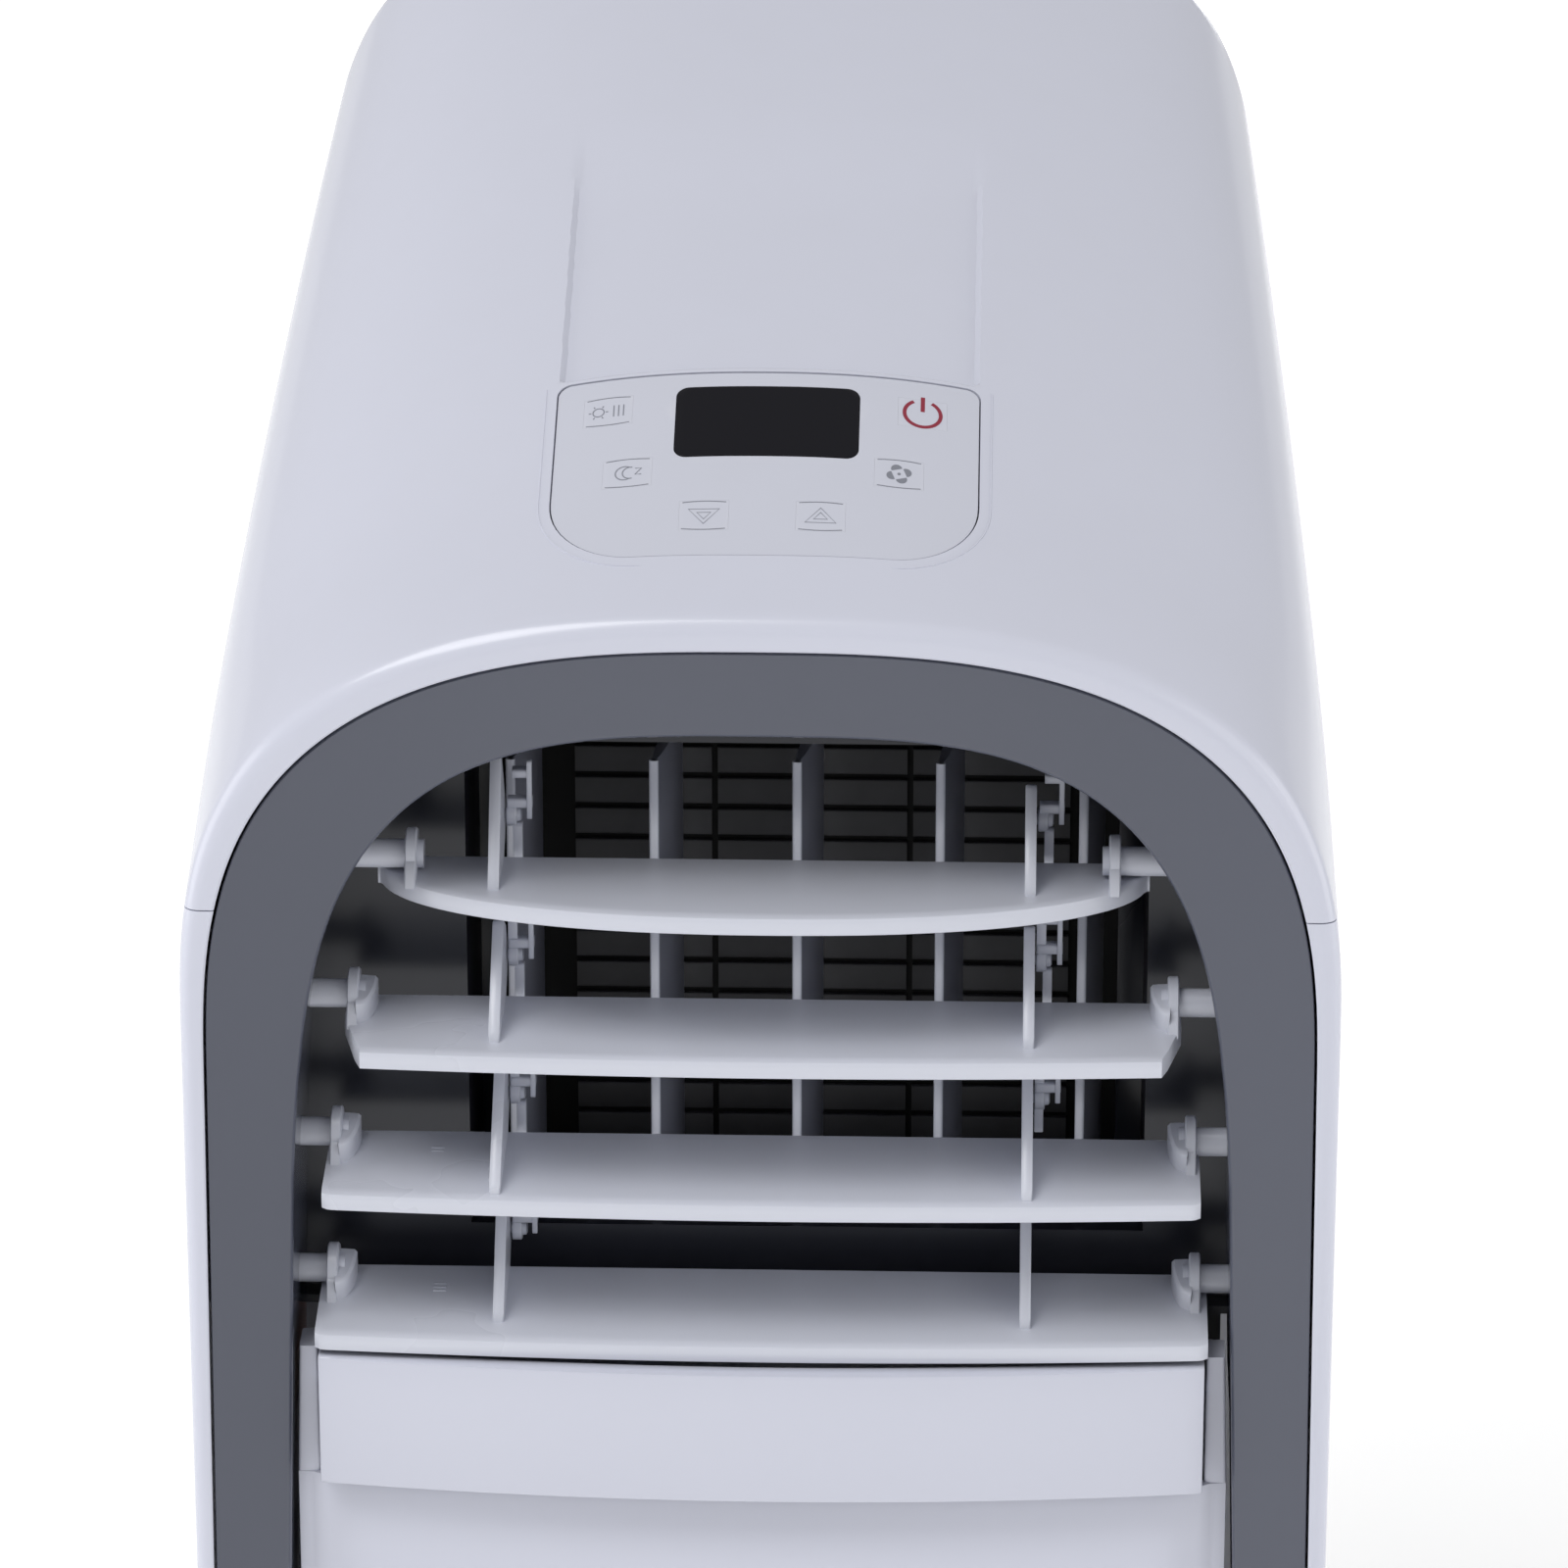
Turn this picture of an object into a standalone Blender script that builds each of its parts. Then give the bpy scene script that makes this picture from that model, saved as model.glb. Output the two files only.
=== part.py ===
"""Portable air conditioner: an arched cabinet on casters with four louvres, vertical vanes and a key panel.

Frame: metres, +X to the right of someone facing the outlet, +Y to the rear, +Z up. The origin is the
bottom centre of the bounding box, so the casters stand on z = 0. One object is made for each real piece.
"""

import math

import bpy
import bmesh
from mathutils import Matrix, Vector

# --- Driving dimensions of the cabinet -------------------------------------------------------------
WIDTH = 0.330
DEPTH = 0.345
FRONT_HEIGHT = 0.615          # top of the front rim above the floor
FRONT_SLOPE = 0.447           # rise of the crown per metre of depth, at the front
REAR_SLOPE = 0.284            # the same at the rear
TAPER = 0.130                 # share of the half width lost towards the rear
TAPER_POWER = 1.206
SEAM_HEIGHT = 0.527           # parting line between the top cover and the side panels
PANEL_FOOT = 0.066            # lower edge of the side panels, front panel and rear cover
WALL = 0.003
REAR_ROUND = 0.018            # radius of the rolled rear edge
REAR_ROLL = 0.016             # how far round that edge the wall goes
RIM_ROUND = 0.004             # outer radius of the white front rim

# --- Arch outlines: half width below the shoulder, drop of the shoulder and superellipse power ------
SKIN_DROP = 0.1044
SKIN_POWER_FRONT = 2.07
SKIN_POWER_REAR = 2.71
RIM_DROP_MORE = 0.022         # the arch is deeper and squarer at the rim, and eases into the skin
RIM_POWER_MORE = 0.65
RIM_EASE = 0.045
RIM_WIDTH_SIDE = 0.0077
RIM_WIDTH_TOP = 0.009
FRAME_DROP = 0.128
FRAME_POWER = 2.8
FRAME_FLARE = 0.008
MOUTH_INSET = 0.0238          # from the surround's outer edge to the mouth, at the sides
MOUTH_DROP_TOP = 0.0297       # the same at the top
MOUTH_DROP = 0.165
MOUTH_POWER = 3.3
MOUTH_FLARE = 0.028

# --- Surround, band and front panel ----------------------------------------------------------------
GAP = 0.0004                  # clearance between fixed pieces
PAST = 0.01                   # how far a cutter runs past the faces that it cuts
RIM_GAP = 0.0007              # white rim to grey surround
SURROUND_SET_BACK = 0.001
SURROUND_THICK = 0.0025
MOUTH_DEPTH = 0.012           # how far behind the rim the mouth lies
TUNNEL_DEPTH = 0.060
LEG_DEPTH = 0.036
BAND_TOP = 0.3832
BAND_HEIGHT = 0.041
BAND_SIDE_GAP = 0.0075
BAND_BULGE = 0.009
BAND_WALL = 0.003
BAND_EDGE = 0.001             # bevel along its upper edge
SHELF_STEP = 0.006            # depth of the band's upper edge
SHELF_DROP = 0.0085           # shelf behind it, under the sweep of the lowest louvre
PANEL_SET_BACK = 0.011
PANEL_BULGE = 0.006
PANEL_THICK = 0.004
PANEL_SIDE_GAP = 0.0014       # front panel to the surround's legs

# --- Louvres ---------------------------------------------------------------------------------------
LOUVRE_PITCH = 0.0438
LOUVRE_TOP_PIVOT = 0.5302
LOUVRE_PIVOT_DEPTH = 0.037    # behind the rim
LOUVRE_FRONT = 0.0325         # pivot to the front edge
LOUVRE_REAR = 0.0105          # pivot to the rear edge
LOUVRE_THICK = 0.0022
LOUVRE_DROP = 0.005           # pivot to the upper face of the plate
LOUVRE_LIP = 0.0058           # height of the front lip
LOUVRE_LIP_DEPTH = 0.0035
LOUVRE_LIP_BEVEL = 0.001
LOUVRE_BOW = 0.004            # how far the front edge bows forward at its middle
TOP_LOUVRE_POWER = 2.25       # the first louvre's front edge is a superellipse
LOUVRE_CORNERS = (0.0, 0.012, 0.0008, 0.0008)   # how far the front corners of each are rounded back
LOUVRE_TILTS = (0.5, 1.5, 4.0, 6.5)   # degrees, front edge down, in the open position
LOUVRE_END_GAPS = (0.0070, 0.0100, 0.0078, 0.0062)   # plate end to mouth wall
EAR_INSETS = (0.0085, 0.0007, 0.0010, 0.0020)        # plate end to the ear's outer face
EAR_THICK = 0.0033
EAR_RADIUS = 0.0075
EAR_FOOT = (-0.0085, 0.013)   # rear and front end of its foot, ahead of the pivot
PIN_RADIUS = 0.0042
PIN_IN_WALL = 0.002
PIN_CLEARANCE = 0.0005
FIN_X = 0.0765
FIN_THICK = 0.0034
FIN_FRONTS = (0.0145, 0.022, 0.028, 0.021)   # pivot to the front foot of each louvre's fins
FIN_TOP = (-0.005, 0.021)     # highest point of a fin: ahead of the pivot, and above it
FIN_HEEL = 0.0032             # fin beyond the link pin
LINK_PIN_BACK = 0.0165        # pivot to the link pin
LINK_PIN_UP = 0.006
LINK_PIN_RADIUS = 0.0016
LINK_WIDTH = 0.0064
LINK_THICK = 0.0026
LINK_TAIL = 0.008

# --- Vanes, duct and guard -------------------------------------------------------------------------
VANE_COUNT = 5
VANE_PITCH = 0.0415
VANE_OFFSET = 0.012           # the duct lies a little to the right, over the blower outlet
VANE_CHORD = 0.040
VANE_THICK = 0.0022
VANE_ANGLE = 9.0
VANE_AXIS_DEPTH = 0.086       # behind the rim
VANE_PIN_RADIUS = 0.0022
VANE_HEAD_ROOM = 0.008
VANE_LINK_BACK = 0.014
VANE_LINK_WIDTH = 0.006
VANE_LINK_THICK = 0.0025
VANE_LINK_PIN = 0.0015
VANE_FOOT_GAP = 0.002
DUCT_BOTTOM = 0.403
DUCT_HEIGHT = 0.153
DUCT_SIDE_ROOM = 0.016        # outer vane to duct wall
DUCT_WALL = 0.0022
DUCT_DEPTH = 0.060            # length of the duct behind its flange
DUCT_FLANGE = 0.003           # flange beyond the tunnel's outside
GUARD_THICK = 0.0025
GUARD_ROWS = 7
GUARD_SLOT = 0.0016
GUARD_FRAME = 0.006
GUARD_BARS = 2

# --- Control panel ---------------------------------------------------------------------------------
CONTROL_FRONT = 0.026         # front edge, behind the rim
CONTROL_LENGTH = 0.071
CONTROL_HALF = 0.0605
CONTROL_ROUND = 0.024
CONTROL_REAR_ROUND = 0.004
CONTROL_THICK = 0.003
CONTROL_SINK = 0.0003
DISPLAY_HALF = 0.0262
DISPLAY_LENGTH = 0.0275
DISPLAY_BACK = 0.0055         # display to the panel's rear edge
DISPLAY_ROUND = 0.0035
KEY_SIZE = (0.0140, 0.0110)
KEY_GAP = 0.0003
KEY_STEM = 0.0006             # key beyond the back of the panel
BOARD_INSET = 0.006
BOARD_DROP = 0.0055           # key panel face to the board
BOARD_THICK = 0.0016
KEYS = (                      # name, x, and distance behind the rim
    ("button_mode", -0.0458, 0.0845),
    ("button_sleep", -0.0392, 0.0590),
    ("button_down", -0.0168, 0.0410),
    ("button_up", 0.0162, 0.0410),
    ("button_fan", 0.0380, 0.0595),
    ("button_power", 0.0443, 0.0845),
)

# --- Base, casters, rear ---------------------------------------------------------------------------
WHEEL_RADIUS = 0.018
WHEEL_WIDTH = 0.015
WHEEL_BORE = 0.0032
CASTER_TRAIL = 0.009
CASTER_HEIGHT = 0.045
CASTER_INSET = 0.040
FORK_CHEEK = 0.0025
FORK_PLATE = 0.003
FORK_RADIUS = 0.0145
FORK_SIDE_GAP = 0.0012
WHEEL_EDGE = 0.0025
STEM_RADIUS = 0.004
STEM_LENGTH = 0.007
AXLE_RADIUS = 0.0027
PAN_FLOOR = 0.008
PAN_WALL_HEIGHT = 0.022
HANDLE_LENGTH = 0.100
HANDLE_HEIGHT = 0.034
HANDLE_DEPTH = 0.024
HANDLE_Z = 0.470
HANDLE_Y = 0.060              # behind the middle of the cabinet
HANDLE_WALL = 0.002
HANDLE_ROUND = 0.0115
HANDLE_SINK = 0.0005
REAR_PLATE = 0.003
REAR_RECESS = 0.006
UPPER_WINDOW = (0.190, 0.412, 0.610)   # width, lower edge, upper edge
LOWER_WINDOW = (0.206, 0.092, 0.240)
CASSETTE_THICK = 0.010
CASSETTE_FRAME = 0.010
CASSETTE_SLAT = 0.0065
CASSETTE_OPEN = 0.0135
CASSETTE_GAP = 0.0005
EXHAUST_X = 0.021
EXHAUST_Z = 0.311
EXHAUST_RADIUS = 0.055
EXHAUST_COLLAR_WALL = 0.0025
EXHAUST_COLLAR_LENGTH = 0.024
EXHAUST_COLLAR_LIP = 0.006

# --- Inside ----------------------------------------------------------------------------------------
DECK_Z = 0.376
DECK_THICK = 0.004
DECK_RIM = 0.012
COIL_THICK = 0.026
COIL_BEND_PITCH = 0.050
COIL_TUBE = 0.0035
COIL_LOOP = (0.008, 0.010)    # reach and half height of one return bend
COIL_MARGIN = 0.004           # coil beyond the window in front of which it stands
BLOWER_CLEARANCE = 0.006
BLOWER_BLADES = 10
BLOWER_DISC = 0.003
BLOWER_SHAFT = 0.004
FAN_RADIUS = 0.078
FAN_WIDTH = 0.038
FAN_BLADES = 9
FAN_X = 0.042
FAN_Z = 0.168
SCROLL_WALL = 0.0022
SCROLL_CLEARANCE = 0.010
SCROLL_NECK_ABOVE = 0.020     # top of the housing above the exhaust axis
EXHAUST_DUCT_HALF = (0.030, 0.0248)
COMPRESSOR_RADIUS = 0.052
COMPRESSOR_HEIGHT = 0.200
COMPRESSOR_X = -0.078
COMPRESSOR_DEPTH = 0.106      # axis behind the rim
ACCUMULATOR_RADIUS = 0.016
ACCUMULATOR_HEIGHT = 0.110
PIPE_RADIUS = 0.004
PLUG_RADIUS = 0.0075
PLUG_STEM = 0.0055
PLUG_STEM_LENGTH = 0.012
PLUG_X = 0.095
UPPER_PLUG_Z = 0.396
LOWER_PLUG_Z = CASTER_HEIGHT + GAP + PAN_FLOOR + PLUG_RADIUS + 0.006
INLET_X = -0.098
INLET_Z = 0.311
INLET_RADIUS = 0.006
INLET_BORE = 0.0042

FRONT = -DEPTH / 2
REAR = DEPTH / 2

WHITE = ("cabinet white", (0.62, 0.63, 0.70), 0.32, 0.0)
PALE = ("panel pale grey", (0.54, 0.56, 0.62), 0.40, 0.0)
GREY = ("surround grey", (0.14, 0.15, 0.18), 0.22, 0.0)
DARK = ("duct dark grey", (0.035, 0.036, 0.042), 0.45, 0.0)
BLACK = ("guard black", (0.012, 0.012, 0.013), 0.5, 0.0)
GLASS = ("display smoke", (0.018, 0.017, 0.021), 0.12, 0.0)
STEEL = ("galvanised steel", (0.45, 0.46, 0.47), 0.45, 0.9)
COPPER = ("copper", (0.62, 0.28, 0.16), 0.3, 1.0)
ALLOY = ("fin aluminium", (0.62, 0.63, 0.64), 0.38, 1.0)
ENAMEL = ("compressor enamel", (0.02, 0.02, 0.022), 0.35, 0.2)
GREEN = ("board green", (0.02, 0.11, 0.05), 0.5, 0.0)
RUBBER = ("rubber", (0.03, 0.03, 0.03), 0.8, 0.0)


# --- Making objects --------------------------------------------------------------------------------
def clear_scene():
    for obj in list(bpy.data.objects):
        bpy.data.objects.remove(obj, do_unlink=True)


def material(finish):
    name, colour, roughness, metallic = finish
    found = bpy.data.materials.get(name)
    if found:
        return found
    made = bpy.data.materials.new(name)
    made.use_nodes = True
    shader = made.node_tree.nodes["Principled BSDF"]
    shader.inputs["Base Color"].default_value = (*colour, 1.0)
    shader.inputs["Roughness"].default_value = roughness
    shader.inputs["Metallic"].default_value = metallic
    return made


def make(name, bm, finish, at=(0, 0, 0), smooth=False):
    """One object from a bmesh whose points are in world space, with its origin moved to `at`."""
    bmesh.ops.remove_doubles(bm, verts=bm.verts, dist=1e-7)
    bmesh.ops.recalc_face_normals(bm, faces=bm.faces)
    mesh = bpy.data.meshes.new(name)
    bm.to_mesh(mesh)
    bm.free()
    mesh.transform(Matrix.Translation(-Vector(at)))
    if smooth:
        mesh.shade_smooth()
        mesh.set_sharp_from_angle(angle=math.radians(35))
    obj = bpy.data.objects.new(name, mesh)
    obj.location = at
    bpy.context.scene.collection.objects.link(obj)
    if finish:
        mesh.materials.append(material(finish))
    return obj


def cutter(target, bm, operation="DIFFERENCE"):
    """A hidden helper solid that is cut from `target`, or joined to it."""
    helper = make(f"{target.name}.helper{len(target.modifiers)}", bm, None)
    helper.hide_render = True
    helper.display_type = "WIRE"
    step = target.modifiers.new(f"{operation.lower()} {len(target.modifiers)}", "BOOLEAN")
    step.operation = operation
    step.solver = "EXACT"
    step.object = helper


def joined(target, bm):
    """A hidden helper solid that becomes part of `target`."""
    cutter(target, bm, "UNION")


def add_rings(bm, rings, caps=True, close=False):
    """Skins a list of rings of points, each a closed loop with the same number of points."""
    rows = [[bm.verts.new(p) for p in ring] for ring in rings]
    pairs = list(zip(rows, rows[1:]))
    if close:
        pairs.append((rows[-1], rows[0]))
    count = len(rows[0])
    for a, b in pairs:
        for i in range(count):
            j = (i + 1) % count
            bm.faces.new((a[i], a[j], b[j], b[i]))
    if caps and not close:
        bm.faces.new(rows[0][::-1])
        bm.faces.new(rows[-1])
    return bm


def rings_solid(rings):
    return add_rings(bmesh.new(), rings)


def prism(outline, axis, low, high):
    """A straight prism: the outline's two numbers are the other two axes, in x, y, z order."""
    def place(point, along):
        place_on = list(point)
        place_on.insert("xyz".index(axis), along)
        return tuple(place_on)
    return rings_solid([[place(p, low) for p in outline], [place(p, high) for p in outline]])


def add_box(bm, low, high):
    corners = [(low[0], low[1]), (high[0], low[1]), (high[0], high[1]), (low[0], high[1])]
    return add_rings(bm, [[(x, y, z) for x, y in corners] for z in (low[2], high[2])])


def box(low, high):
    return add_box(bmesh.new(), low, high)


def circle(u, v, radius, count=20, start=0.0):
    angles = [start + math.tau * i / count for i in range(count)]
    return [(u + radius * math.cos(angle), v + radius * math.sin(angle)) for angle in angles]


def rounded(u0, v0, u1, v1, radius, steps=4):
    """A rectangle with rounded corners, as a list of points."""
    points = []
    corners = ((u1 - radius, v0 + radius, -90), (u1 - radius, v1 - radius, 0),
               (u0 + radius, v1 - radius, 90), (u0 + radius, v0 + radius, 180))
    for u, v, start in corners:
        for i in range(steps + 1):
            angle = math.radians(start + 90 * i / steps)
            points.append((u + radius * math.cos(angle), v + radius * math.sin(angle)))
    return points


def turned(profile, centre, axis="z", count=24):
    """A solid of revolution. The profile is (radius, distance along the axis), from one pole to the other."""
    rings = []
    for radius, along in profile:
        ring = []
        for a, b in circle(0, 0, radius, count):
            offset = {"x": (along, a, b), "y": (a, along, b), "z": (a, b, along)}[axis]
            ring.append(tuple(c + o for c, o in zip(centre, offset)))
        rings.append(ring)
    return rings_solid(rings)


def bar(centre, axis, radius, low, high, count=16):
    """A round bar along an axis, from `low` to `high` measured from the centre."""
    return turned([(radius, low), (radius, high)], centre, axis, count)


# --- Shape of the cabinet --------------------------------------------------------------------------
def share(y):
    return min(max((y - FRONT) / DEPTH, 0.0), 1.0)


def crown(y):
    t = share(y)
    return FRONT_HEIGHT + DEPTH * (FRONT_SLOPE * t + (REAR_SLOPE - FRONT_SLOPE) * t * t / 2)


def half_width(y):
    return WIDTH / 2 * (1 - TAPER * share(y) ** TAPER_POWER)


def roll_inset(y):
    """How far the rolled rear edge pulls the skin in."""
    past = y - (REAR - REAR_ROLL)
    return REAR_ROUND - math.sqrt(REAR_ROUND ** 2 - past ** 2) if past > 0 else 0.0


def skin_arch(y, inset=0.0):
    """Half width, top, shoulder drop and power of the cabinet's section at y."""
    ease = math.exp(-(((y - FRONT) / RIM_EASE) ** 2))
    power = SKIN_POWER_FRONT + (SKIN_POWER_REAR - SKIN_POWER_FRONT) * share(y) + RIM_POWER_MORE * ease
    pulled = inset + roll_inset(y)
    drop = SKIN_DROP + RIM_DROP_MORE * ease - 0.5 * pulled
    return half_width(y) - pulled, crown(y) - pulled, drop, power, 0.0


def frame_arch(outset=0.0):
    """Outer edge of the grey surround, which the white rim goes round."""
    return (WIDTH / 2 - RIM_WIDTH_SIDE + outset, FRONT_HEIGHT - RIM_WIDTH_TOP + outset,
            FRAME_DROP + outset, FRAME_POWER, FRAME_FLARE)


def mouth_arch(outset=0.0):
    """The mouth of the surround, where its funnel turns into the tunnel."""
    half, top = frame_arch(outset)[:2]
    return half - MOUTH_INSET, top - MOUTH_DROP_TOP, MOUTH_DROP + outset, MOUTH_POWER, MOUTH_FLARE


def arch_half(arch, z):
    """Half width of an arch at height z."""
    half, top, drop, power, flare = arch
    rise = min(max((z - (top - drop)) / drop, 0.0), 1.0)
    return half * (1 - rise ** power) ** (1 / power) + flare * max(top - drop * 0.6 - z, 0.0)


def arch_line(arch, low, count, fine=160):
    """Points (x, z) from the left foot at z = low over the top to the right foot, evenly spaced."""
    half, top, drop, power, flare = arch
    dense = []
    shoulder = top - drop
    if low < shoulder:
        dense += [low + (shoulder - low) * i / fine for i in range(fine)]
    for i in range(fine):
        rise = math.sin(math.pi / 2 * i / (fine - 1)) ** (2 / power)
        if shoulder + drop * rise > low:
            dense.append(shoulder + drop * rise)
    heights = sorted(set([low] + dense))
    left = [(-arch_half(arch, z), z) for z in heights]
    left[-1] = (0.0, top)
    line = left + [(-x, z) for x, z in left[-2::-1]]
    lengths = [0.0]
    for a, b in zip(line, line[1:]):
        lengths.append(lengths[-1] + math.dist(a, b))
    points = []
    k = 0
    for i in range(count):
        wanted = lengths[-1] * i / (count - 1)
        while k < len(lengths) - 2 and lengths[k + 1] < wanted:
            k += 1
        part = (wanted - lengths[k]) / (lengths[k + 1] - lengths[k])
        a, b = line[k], line[k + 1]
        points.append((a[0] + (b[0] - a[0]) * part, a[1] + (b[1] - a[1]) * part))
    return points


def skin_stations():
    """Places in depth of the cabinet's outer sections, rim to rolled rear edge."""
    rim = [FRONT + RIM_ROUND * s for s in (0.0, 0.35, 1.0)]
    middle = [FRONT + (DEPTH - REAR_ROLL) * s for s in (0.06, 0.13, 0.23, 0.37, 0.54, 0.73, 0.89, 1.0)]
    return rim + middle + [REAR - REAR_ROLL * s for s in (0.5, 0.0)]


def rim_inset(y):
    past = RIM_ROUND - (y - FRONT)
    return RIM_ROUND - math.sqrt(RIM_ROUND ** 2 - past ** 2) if past > 0 else 0.0


def wall_sections():
    """(y, arch) round the wall's profile: outside from rim to rear, then inside back to the rim."""
    outer = [(y, skin_arch(y, rim_inset(y))) for y in skin_stations()]
    body = [y for y in skin_stations() if FRONT + 2 * RIM_ROUND < y < REAR - REAR_ROLL - 1e-6]
    inner_stations = body[::2] + [REAR - REAR_ROLL * s for s in (1.0, 0.5, 0.0)]
    inner = [(y, skin_arch(y, WALL)) for y in reversed(inner_stations)]
    lip_back = FRONT + 2 * RIM_ROUND
    inner.append((lip_back, skin_arch(lip_back, WALL)))
    rim = [(lip_back, frame_arch(RIM_GAP)), (FRONT + RIM_ROUND / 4, frame_arch(RIM_GAP))]
    return outer + inner + rim


def top_cover():
    count = 37
    low = SEAM_HEIGHT + GAP / 2
    columns = [[(x, y, z) for x, z in arch_line(arch, low, count)] for y, arch in wall_sections()]
    rings = [[column[i] for column in columns] for i in range(count)]
    cover = make("top_cover", rings_solid(rings), WHITE, smooth=True)
    cutter(cover, control_patch(CONTROL_HALF + GAP, GAP, -WALL * 3, WALL * 3))


def side_panel(name, side):
    top = SEAM_HEIGHT - GAP / 2
    drops = (1.0, 0.76, 0.477, 0.304, 0.195, 0.130, 0.087, 0.054, 0.026, 0.0)
    heights = [top - (top - PANEL_FOOT) * drop for drop in drops]
    sections = wall_sections()
    rings = [[(side * arch_half(arch, z), y, z) for y, arch in sections] for z in heights]
    panel = make(name, rings_solid(rings), WHITE, smooth=True)
    reach = half_width(HANDLE_Y)
    hole = rounded(HANDLE_Y - HANDLE_LENGTH / 2 - GAP, HANDLE_Z - HANDLE_HEIGHT / 2 - GAP,
                   HANDLE_Y + HANDLE_LENGTH / 2 + GAP, HANDLE_Z + HANDLE_HEIGHT / 2 + GAP, HANDLE_ROUND + GAP)
    cutter(panel, prism(hole, "x", *sorted((side * (reach - 3 * PAST), side * (reach + 3 * PAST)))))


def handle(name, side):
    """A hand cup: an open box whose mouth is flush with the side panel."""
    y0, y1 = HANDLE_Y - HANDLE_LENGTH / 2, HANDLE_Y + HANDLE_LENGTH / 2
    z0, z1 = HANDLE_Z - HANDLE_HEIGHT / 2, HANDLE_Z + HANDLE_HEIGHT / 2
    outer = rounded(y0, z0, y1, z1, HANDLE_ROUND)
    inner = rounded(y0 + HANDLE_WALL, z0 + HANDLE_WALL, y1 - HANDLE_WALL, z1 - HANDLE_WALL,
                    HANDLE_ROUND - HANDLE_WALL)
    floor = half_width(HANDLE_Y) - HANDLE_DEPTH
    rings = [[(side * floor, y, z) for y, z in outer],
             [(side * (half_width(y) - HANDLE_SINK), y, z) for y, z in outer],
             [(side * (half_width(y) - HANDLE_SINK), y, z) for y, z in inner],
             [(side * (floor + HANDLE_WALL), y, z) for y, z in inner]]
    make(name, rings_solid(rings), PALE, smooth=True)


# --- Surround, band and panel ----------------------------------------------------------------------
def louvre_pivot(index):
    return Vector((0.0, FRONT + LOUVRE_PIVOT_DEPTH, LOUVRE_TOP_PIVOT - LOUVRE_PITCH * index))


def tunnel_half(z):
    return arch_half(mouth_arch(), z)


def outlet_surround():
    count = 39
    face, back = frame_arch(), mouth_arch(SURROUND_THICK)
    lines = [arch_line(a, PANEL_FOOT, count) for a in (face, mouth_arch(), back)]
    rings = []
    for (fx, fz), (mx, mz), (bx, bz) in zip(*lines):
        end = FRONT + (TUNNEL_DEPTH if mz > BAND_TOP - BAND_HEIGHT * 0.6 else LEG_DEPTH)
        front = FRONT + SURROUND_SET_BACK
        mouth = FRONT + MOUTH_DEPTH
        rings.append([(fx, front, fz), (mx, mouth, mz), (mx, end, mz), (bx, end, bz),
                      (bx, mouth + SURROUND_THICK, bz), (fx, front + SURROUND_THICK, fz)])
    surround = make("outlet_surround", rings_solid(rings), GREY, smooth=True)
    sockets = bmesh.new()
    for index in range(len(LOUVRE_TILTS)):
        pivot = louvre_pivot(index)
        reach = tunnel_half(pivot.z)
        for side in (-1, 1):
            ends = sorted((side * (reach - 3 * PAST), side * (reach + PAST)))
            round_line = circle(pivot.y, pivot.z, PIN_RADIUS + PIN_CLEARANCE, 12)
            socket = [[(x, y, z) for y, z in round_line] for x in ends]
            add_rings(sockets, socket)
    cutter(surround, sockets)


def front_band():
    """The proud white band under the louvres, with a lower shelf behind its upper edge."""
    half = tunnel_half(BAND_TOP) - BAND_SIDE_GAP
    low, high = BAND_TOP - BAND_HEIGHT, BAND_TOP
    rings = []
    for i in range(13):
        x = half * (i / 6 - 1)
        face = FRONT + GAP + BAND_BULGE * (x / half) ** 2
        shelf = FRONT + TUNNEL_DEPTH - GAP
        top, under = high - SHELF_DROP, high - SHELF_DROP - BAND_WALL
        section = ((face, low), (face, high - BAND_EDGE), (face + BAND_EDGE, high), (face + SHELF_STEP, high),
                   (face + SHELF_STEP + BAND_EDGE, top), (shelf, top), (shelf, under),
                   (face + BAND_WALL, under), (face + BAND_WALL, low))
        rings.append([(x, y, z) for y, z in section])
    make("front_band", rings_solid(rings), WHITE, smooth=True)


def front_panel():
    """The removable lower front panel: a shallow barrel between the surround's legs."""
    top, foot = BAND_TOP - BAND_HEIGHT - GAP, PANEL_FOOT
    half = tunnel_half(top) - PANEL_SIDE_GAP
    steps = 12
    rings = []
    for i in range(steps + 1):
        s = 2 * i / steps - 1
        face = FRONT + PANEL_SET_BACK + PANEL_BULGE * s * s
        rings.append([(s * half, face, foot), (s * half, face, top),
                      (s * half, face + PANEL_THICK, top), (s * half, face + PANEL_THICK, foot)])
    make("front_panel", rings_solid(rings), WHITE, smooth=True)


# --- Louvres ---------------------------------------------------------------------------------------
def louvre_half(index):
    """Half length of a louvre plate, inside the narrowest place of the mouth that it meets."""
    pivot = louvre_pivot(index)
    return tunnel_half(pivot.z) - LOUVRE_END_GAPS[index]


def louvre_front_line(index, count=15):
    """(x, distance in front of the pivot) along the front edge of one louvre."""
    half = louvre_half(index)
    line = []
    for i in range(count):
        s = math.sin(math.pi * (i / (count - 1) - 0.5))
        if index == 0:
            rest = max(1 - abs(s) ** TOP_LOUVRE_POWER, 0.0)
            reach = (LOUVRE_FRONT + LOUVRE_REAR) * rest ** (1 / TOP_LOUVRE_POWER)
            line.append((s * half, max(reach - LOUVRE_REAR, -LOUVRE_REAR * 0.25)))
        else:
            past = max(abs(s) - 0.9, 0.0) / 0.1
            line.append((s * half, LOUVRE_FRONT - LOUVRE_BOW * s * s - LOUVRE_CORNERS[index] * past ** 2))
    return line


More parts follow.
